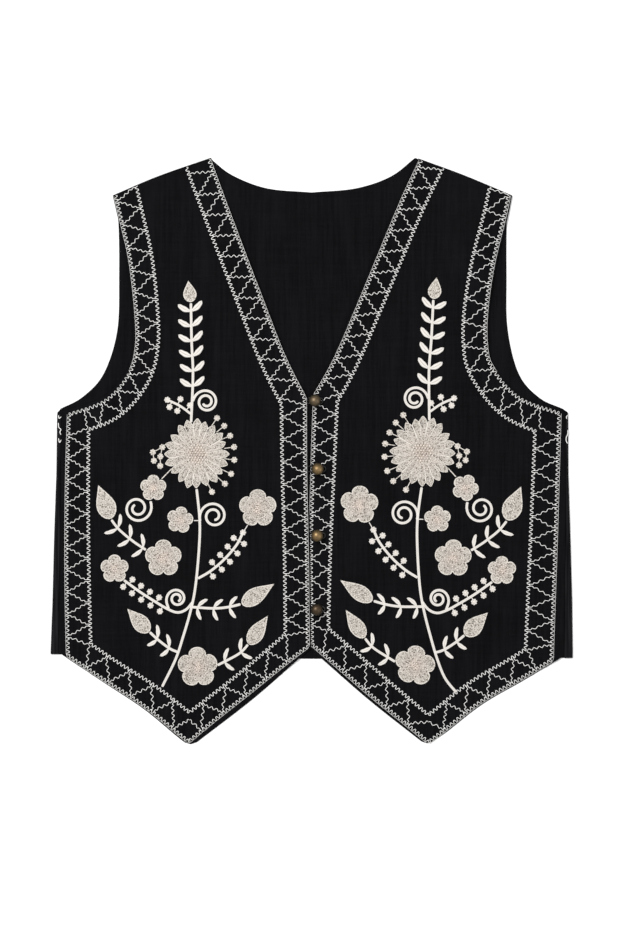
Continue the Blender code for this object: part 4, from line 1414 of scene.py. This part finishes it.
def daisy_outline(petals):
    """Round the tips of all the petals."""
    outline = []
    for petal in petals:
        out = petal_way(*petal)
        across = Vector((-out.y, out.x)).normalized()
        shares = [share for share, _ in PETAL_TIP]
        for share in shares:
            outline.append(Vector(DAISY_CENTRE) + out * share - across * petal_room(out, share) * 0.97)
        for share in reversed(shares):
            outline.append(Vector(DAISY_CENTRE) + out * share + across * petal_room(out, share) * 0.97)
    return outline


def curl_line(x, y, first_radius, last_radius, start_angle, turns, winding):
    """A tendril wound clockwise inwards."""
    steps = round(turns * 24)
    line = []
    for step in range(steps + 1):
        radius = first_radius + (last_radius - first_radius) * (step / steps) ** winding
        line.append(Vector((x, y)) + polar(radius, start_angle - 15.0 * step))
    return line


def stem_line(name):
    return catmull_rom(STEMS[name], 2.0)


def add_leaflets(work, name):
    """The pairs of leaflets along one stem."""
    line = stem_line(name)
    width = SPRIG_LEAFLET_WIDTH if name == "sprig" else LEAFLET_WIDTH
    for stem_name, first, last, pairs, left_length, left_angle, right_length, right_angle in LEAFLETS:
        if stem_name != name:
            continue
        for pair in range(pairs):
            base, heading = place_on(line, first + (last - first) * pair / (pairs - 1))
            work.leaflet(base, heading + left_angle, left_length, width, LEAFLET_BOW)
            work.leaflet(base, heading - right_angle, right_length, width, -LEAFLET_BOW)


def add_berries(work, name):
    """The berries along one stem, each on its link."""
    line = stem_line(name)
    for stem_name, first, pitch, count, offset in STEM_BERRIES:
        if stem_name != name:
            continue
        for index in range(count):
            root, heading = place_on(line, first + pitch * index)
            place = root + polar(offset, heading + 90)
            if offset:
                work.band([root, place], *LINK)
            work.berry(place)


def daisy_berries():
    """The links round the daisy: where each starts on the daisy's rim, and its berry's centre."""
    centre = Vector(DAISY_CENTRE)
    links = []
    for angle, distance in RING_BERRIES:
        away = polar(1.0, angle)
        links.append((centre + away * Vector(DAISY_RADII) * 0.83, centre + away * distance))
    return links


ivory_thread = ivory_finish(
    "ivory_thread", (0.71, 0.665, 0.605), (0.13, 0.11, 0.09), (0.74, 0.63, 0.555), 1.5, 0.62
)
stem_thread = ivory_finish("stem_thread", (0.72, 0.685, 0.64), (0.2, 0.175, 0.15), (0.8, 0.72, 0.65), 1.5)

petals = daisy_petals()
daisy_edge = daisy_outline(petals)
bud_edges = [bud_outline(*row) for row in BUDS]
berry_links = daisy_berries()
side_berries = [Vector(place) for place in SIDE_BERRIES]
berry_places = [*(end for _, end in berry_links), *side_berries]
berry_edges = [ring_of(place, BERRY_RADIUS, 12) for place in berry_places]
curl_edge = ring_of(CURLS["blossom"][:2], CURLS["blossom"][2] + STEM_WIDTH / 2, 24)

for side in SIDES:
    def work_clear_of(*edges):
        return Embroidery(seats[side], lambda point: laid_point(point, side), edges)

    blossom_edges = [blossom_outline(*row, side) for row in BLOSSOMS]
    sprig = work_clear_of(daisy_edge, bud_edges[0])
    sprig.band(stem_line("sprig"))
    sprig.band(stem_line("berry sprig"), BERRY_SPRIG_WIDTH)
    sprig.band(curl_line(*CURLS["sprig"]))
    add_leaflets(sprig, "sprig")
    add_berries(sprig, "berry sprig")
    sprig.made(f"sprig_{side}_thread", [f"sprig_{side}"], stem_thread)

    stem = work_clear_of(daisy_edge, *blossom_edges, *bud_edges)
    stem.band(catmull_rom([*STEMS["main"], *STEM_FEET[side]], 2.0))
    for name in ("berry branch", "low branch", "right twig", "left twig"):
        stem.band(stem_line(name))
        add_leaflets(stem, name)
        add_berries(stem, name)
    stem.band(curl_line(*CURLS["main"]))
    stem.band(curl_line(*CURLS["low"]))
    for x, y, far_x, far_y in STEM_LINKS:
        stem.band([Vector((x, y)), Vector((far_x, far_y))], *LINK)
    stem.made(f"stem_{side}_thread", [f"stem_{side}"], stem_thread)

    curl = work_clear_of(blossom_edges[0])
    curl.band(curl_line(*CURLS["blossom"]))
    curl.made(f"curl_{side}_thread", [f"curl_{side}"], stem_thread)

    upper_twig = work_clear_of(blossom_edges[3], bud_edges[1], curl_edge)
    upper_twig.band(stem_line("upper twig"), TWIG_WIDTH)
    add_leaflets(upper_twig, "upper twig")
    upper_twig.made(f"upper_twig_{side}_thread", [f"upper_twig_{side}"], stem_thread)

    lower_twig = work_clear_of(blossom_edges[5], bud_edges[4])
    lower_twig.band(stem_line("lower twig"), TWIG_WIDTH)
    add_leaflets(lower_twig, "lower twig")
    lower_twig.made(f"lower_twig_{side}_thread", [f"lower_twig_{side}"], stem_thread)

    daisy = work_clear_of()
    daisy.daisy(daisy_edge, petals)
    for start, end in berry_links:
        daisy.band([start, end], *RING_LINK)
        daisy.berry(end)
    for start, end in BERRY_CHAIN:
        daisy.band([side_berries[start], side_berries[end]], *RING_LINK)
    daisy.band([Vector(CHAIN_START), side_berries[0]], *RING_LINK)
    for place in side_berries:
        daisy.berry(place)
    daisy.made(f"daisy_{side}_thread", (f"daisy_{side}", f"daisy_eye_{side}"), ivory_thread)

    for index, (row, edge) in enumerate(zip(BLOSSOMS, blossom_edges), 1):
        blossom = work_clear_of(*([edge, daisy_edge, *berry_edges] if index == 1 else []))
        blossom.blossom(edge, *row[:3])
        if index == 1:
            blossom.band([Vector(DAISY_LINK[:2]), Vector(DAISY_LINK[2:])], *BLOSSOM_LINK)
        blossom.made(f"blossom_{index}_{side}_thread", [f"blossom_{index}_{side}"], ivory_thread)
    for index, row in enumerate(BUDS, 1):
        bud = work_clear_of()
        bud.bud(*row)
        bud.made(f"bud_{index}_{side}_thread", [f"bud_{index}_{side}"], ivory_thread)


# The buttons ---------------------------------------------------------------------------------------
# Four small ball buttons of antiqued brass, each pressed from two shells that meet round its middle
# and soldered to a shank. The shank is sewn to the right front's centre edge.

BUTTON_PLACES = ((3.1, 45.8), (5.7, -17.0), (5.2, -78.2), (4.8, -146.1))
BUTTON_RADIUS = 5.6
BUTTON_HALF_HEIGHT = 4.2
SHANK_RADIUS = 1.4
SHANK_HEIGHT = 2.3
# The shank below the ball: the share of its radius at its waist, the waist's two places as shares of
# the shank's height, the share of its radius at its foot, and the height of the foot's edge.
SHANK_WAIST = 0.94
SHANK_WAIST_HEIGHTS = (0.6, 0.3)
SHANK_FOOT = 0.9
SHANK_FOOT_EDGE = 0.12
SEAM_DEPTH = 0.1
SEAM_HALF_WIDTH = 4.0
TURN_STEPS = 48
PROFILE_STEPS = 30


def brass_finish(name, bright, dull, grime):
    """Antiqued brass: bright on top and brown down its sides, part wear and part painted light; fine
    scratches.
    """
    finish = Finish(name, Metallic=0.7, Specular_IOR_Level=0.3)
    place = finish.place()
    clouds = finish.noise(place, 420.0, 3.0, 0.6)
    specks = finish.noise(place, 1900.0, 2.0)
    rubs = finish.noise(finish.stretched(place, (3000.0, 500.0, 1200.0)), 1.0, 2.0)
    facing = finish.node("ShaderNodeNewGeometry", output="Normal")
    up = finish.node("ShaderNodeSeparateXYZ", None, {0: facing}, 2)
    # Part wear, part painted light: faces that look up take the bright colour, the sides and underside the
    # dull one.
    worn = finish.ramped(up + clouds * 0.9, 1.0, 1.6)
    shade = finish.mixed(worn, dull, bright)
    shade = finish.mixed(finish.ramped(clouds + specks * 0.5, 0.72, 0.95) * 0.6, shade, grime)
    finish.feed("Base Color", shade)
    finish.feed("Roughness", clouds * 0.25 + rubs * 0.12 + 0.22)
    finish.bump(clouds * 0.6 + specks * 0.25, 0.4, 0.12)
    return finish.material


antique_brass = brass_finish(
    "antique_brass", (0.155, 0.112, 0.066), (0.055, 0.043, 0.025), (0.02, 0.015, 0.01)
)
warm_brass = brass_finish("warm_brass", (0.255, 0.165, 0.075), (0.083, 0.06, 0.029), (0.026, 0.018, 0.01))
brown_brass = brass_finish("brown_brass", (0.078, 0.052, 0.03), (0.031, 0.023, 0.014), (0.013, 0.009, 0.006))
BUTTON_FINISHES = (antique_brass, warm_brass, warm_brass, brown_brass)


def button_profile():
    """Points down the outer side of the ball and its shank: distance from the axis, and height."""
    middle = SHANK_HEIGHT + BUTTON_HALF_HEIGHT
    lowest = math.degrees(math.acos(SHANK_RADIUS / BUTTON_RADIUS))
    profile = []
    for step in range(PROFILE_STEPS + 1):
        angle = 90 - (90 + lowest) * step / PROFILE_STEPS
        seam = SEAM_DEPTH * math.exp(-((angle - 2.0) / SEAM_HALF_WIDTH) ** 2)
        point = polar(1.0 - seam / BUTTON_RADIUS, angle)
        profile.append((point.x * BUTTON_RADIUS, middle + point.y * BUTTON_HALF_HEIGHT))
    neck = profile[-1][1]
    profile.extend((SHANK_RADIUS * SHANK_WAIST, neck * share) for share in SHANK_WAIST_HEIGHTS)
    profile.extend(((SHANK_RADIUS, SHANK_FOOT_EDGE), (SHANK_RADIUS * SHANK_FOOT, 0.0)))
    return profile


def turned_button(name, x, y, bottom, finish):
    """The profile turned round the button's axis, with its shank's foot on the cloth."""
    profile = button_profile()
    points = [(x, y, bottom + profile[0][1])]
    for reach, height in profile[1:]:
        for step in range(TURN_STEPS):
            point = polar(reach, 360 * step / TURN_STEPS)
            points.append((x + point.x, y + point.y, bottom + height))
    faces = [(0, 1 + step, 1 + (step + 1) % TURN_STEPS) for step in range(TURN_STEPS)]
    for ring in range(len(profile) - 2):
        first = 1 + ring * TURN_STEPS
        for step in range(TURN_STEPS):
            beside = (step + 1) % TURN_STEPS
            below = first + TURN_STEPS
            faces.append((first + step, below + step, below + beside, first + beside))
    faces.append(tuple(len(points) - 1 - step for step in range(TURN_STEPS)))
    return made_object(name, points, faces, finish)


for index, ((x, y), finish) in enumerate(zip(BUTTON_PLACES, BUTTON_FINISHES), 1):
    button = turned_button(f"button_{index}_ball", x, y, seats["right"]((x, y)) + GAP, finish)
    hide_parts(f"button_{index}")
    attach(button, "root")


# The button loops ----------------------------------------------------------------------------------
# A short black corded loop for each button, caught in the left front's centre edge. It passes over
# the right front's edge and round the button's shank.

LOOP_RADIUS = 0.75
LOOP_HALF_WIDTH = 2.5
LOOP_REACH = 4.8
LOOP_CLEARANCE = 0.45
# Where a loop leaves the left front: how far inside the edge it starts, how far outside it bends down
# and by how much, and how far outside it lies on the right front.
LOOP_ROOT = 0.2
LOOP_BEND = 1.0
LOOP_DIP = 0.25
LOOP_FALL = 2.4
CORD_CORNERS = 10


def cord_finish():
    """Glazed black cord, twisted from three yarns."""
    finish = Finish("black_cord", Specular_IOR_Level=0.35, Roughness=0.42)
    values = [
        finish.node("ShaderNodeAttribute", {"attribute_name": attribute}, None, "Fac")
        for attribute in ("along", "across")
    ]
    turns = (values[0] * (2 * math.pi / 1.1) + values[1] * 3.0).sine()
    fuzz = finish.noise(finish.place(), 3000.0, 2.0)
    lit = finish.ramped(turns + fuzz, -0.4, 1.4)
    finish.feed("Base Color", finish.mixed(lit, (0.003, 0.003, 0.0035), (0.016, 0.016, 0.018)))
    finish.bump(turns + fuzz * 0.4, 0.8, 0.16)
    return finish.material


black_cord = cord_finish()


def right_reach(outline, y):
    """How far to the right an outline reaches at y."""
    crossings = []
    for start, end in zip(outline, [*outline[1:], outline[0]]):
        if min(start.y, end.y) <= y < max(start.y, end.y):
            crossings.append(start.x + (end.x - start.x) * (y - start.y) / (end.y - start.y))
    return max(crossings)


def loop_route(x, y, edge):
    """The loop's middle line: out of the left front's edge, round the shank and back."""
    rest = seats["right"]((x, y)) + LOOP_CLEARANCE + LOOP_RADIUS
    start = CLOTH / 2 + 2 * STACK
    reach = x + LOOP_REACH
    leg = [(edge - LOOP_ROOT, start), (edge + LOOP_BEND, start - LOOP_DIP)]
    leg.extend(((edge + LOOP_FALL, rest), (x, rest), (reach, rest)))
    upper = [(leg_x, y + LOOP_HALF_WIDTH, z) for leg_x, z in leg]
    lower = [(leg_x, y - LOOP_HALF_WIDTH, z) for leg_x, z in reversed(leg)]
    bow = []
    for step in range(1, 6):
        point = polar(LOOP_HALF_WIDTH, 90 - 30 * step)
        bow.append((reach + point.x, y + point.y, rest))
    return catmull_rom([*upper, *bow, *lower], 0.6)


def cord_along(name, route, radius, finish):
    """A round cord with closed ends."""
    points = []
    threads = []
    faces = []
    along = 0.0
    for index, place in enumerate(route):
        before, after = route[max(index - 1, 0)], route[min(index + 1, len(route) - 1)]
        way = (after - before).normalized()
        level = way.cross(Vector((0, 0, 1))).normalized()
        upright = level.cross(way)
        along += (place - before).length
        ripple_size = radius * (0.97 + 0.03 * math.sin(along * 5.0))
        for corner in range(CORD_CORNERS):
            turn = polar(ripple_size, 360 * corner / CORD_CORNERS)
            points.append(tuple(place + level * turn.x + upright * turn.y))
            threads.append((along, abs(corner - CORD_CORNERS / 2) * 2 * math.pi / CORD_CORNERS))
    for ring in range(len(route) - 1):
        for corner in range(CORD_CORNERS):
            beside = (corner + 1) % CORD_CORNERS
            first, second = ring * CORD_CORNERS, (ring + 1) * CORD_CORNERS
            faces.append((first + corner, first + beside, second + beside, second + corner))
    faces.append(tuple(reversed(range(CORD_CORNERS))))
    faces.append(tuple(len(points) - CORD_CORNERS + corner for corner in range(CORD_CORNERS)))
    piece = made_object(name, points, faces, finish)
    for index, attribute in enumerate(("along", "across")):
        keep_values(piece, attribute, [thread[index] for thread in threads])
    return piece


left_edge = table_outline(FRONT_OUTLINE, "left", 1.0)
for index, (x, y) in enumerate(BUTTON_PLACES, 1):
    route = loop_route(x, y, right_reach(left_edge, y))
    loop = cord_along(f"loop_{index}_cord", route, LOOP_RADIUS, black_cord)
    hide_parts(f"loop_{index}")
    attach(loop, "root")


# The floor -----------------------------------------------------------------------------------------
# A plain pale sheet of studio paper that the vest is laid out on. It isn't part of the vest, and
# lies just below it, so that nothing of the vest sinks into it.

FLOOR_SIZE = 6000.0
FLOOR_DROP = 0.3

pale_paper = Finish("pale_paper", Roughness=0.9, Specular_IOR_Level=0.1)
grain = pale_paper.noise(pale_paper.place(), 300.0, 2.0)
pale_paper.feed("Base Color", pale_paper.mixed(grain, (0.93, 0.93, 0.93), (0.94, 0.94, 0.94)))
reach = FLOOR_SIZE / 2
corners = [(-reach, -reach, -FLOOR_DROP), (reach, -reach, -FLOOR_DROP)]
corners += [(reach, reach, -FLOOR_DROP), (-reach, reach, -FLOOR_DROP)]
made_object("studio_floor", corners, [(0, 1, 2, 3)], pale_paper.material)


# The light -----------------------------------------------------------------------------------------
# Soft white light from all round, with a large lamp above the neck's left and a weaker, wider one
# over the hem's right, so that the raised threads have a lit and a shaded side.

SKY_STRENGTH = 0.62
LAMPS = (
    ("key_lamp", (-0.75, 0.6, 2.1), 0.7, 40.0),
    ("fill_lamp", (1.6, -0.6, 2.0), 1.6, 14.0),
)

world = bpy.data.worlds.new("studio")
world.use_nodes = True
bpy.context.scene.world = world
sky = world.node_tree.nodes["Background"]
sky.inputs["Color"].default_value = (1.0, 1.0, 1.0, 1.0)
sky.inputs["Strength"].default_value = SKY_STRENGTH
for name, place, size, power in LAMPS:
    light = bpy.data.lights.new(name, "AREA")
    light.size = size
    light.energy = power
    lamp = bpy.data.objects.new(name, light)
    lamp.location = place
    lamp.rotation_euler = (-Vector(place)).to_track_quat("-Z", "Y").to_euler()
    bpy.context.scene.collection.objects.link(lamp)


# The camera ----------------------------------------------------------------------------------------
# It looks straight down on the laid vest through a long lens, from a height at which one pixel of
# the render covers PIXEL millimetres of cloth.

LENS = 85.0
SENSOR = 36.0
RENDER_HEIGHT = 930
PIXEL = 0.92
CAMERA_AIM = (-1.38, -13.34)
CLOTH_TOP = 3.0

camera_data = bpy.data.cameras.new("camera")
camera_data.sensor_fit = "VERTICAL"
camera_data.sensor_height = SENSOR
camera_data.lens = LENS
camera = bpy.data.objects.new("camera", camera_data)
height = RENDER_HEIGHT * PIXEL * LENS / SENSOR + CLOTH_TOP
camera.location = [value * MM for value in (*CAMERA_AIM, height)]
bpy.context.scene.collection.objects.link(camera)
bpy.context.scene.camera = camera
bpy.context.scene.view_settings.view_transform = "Standard"
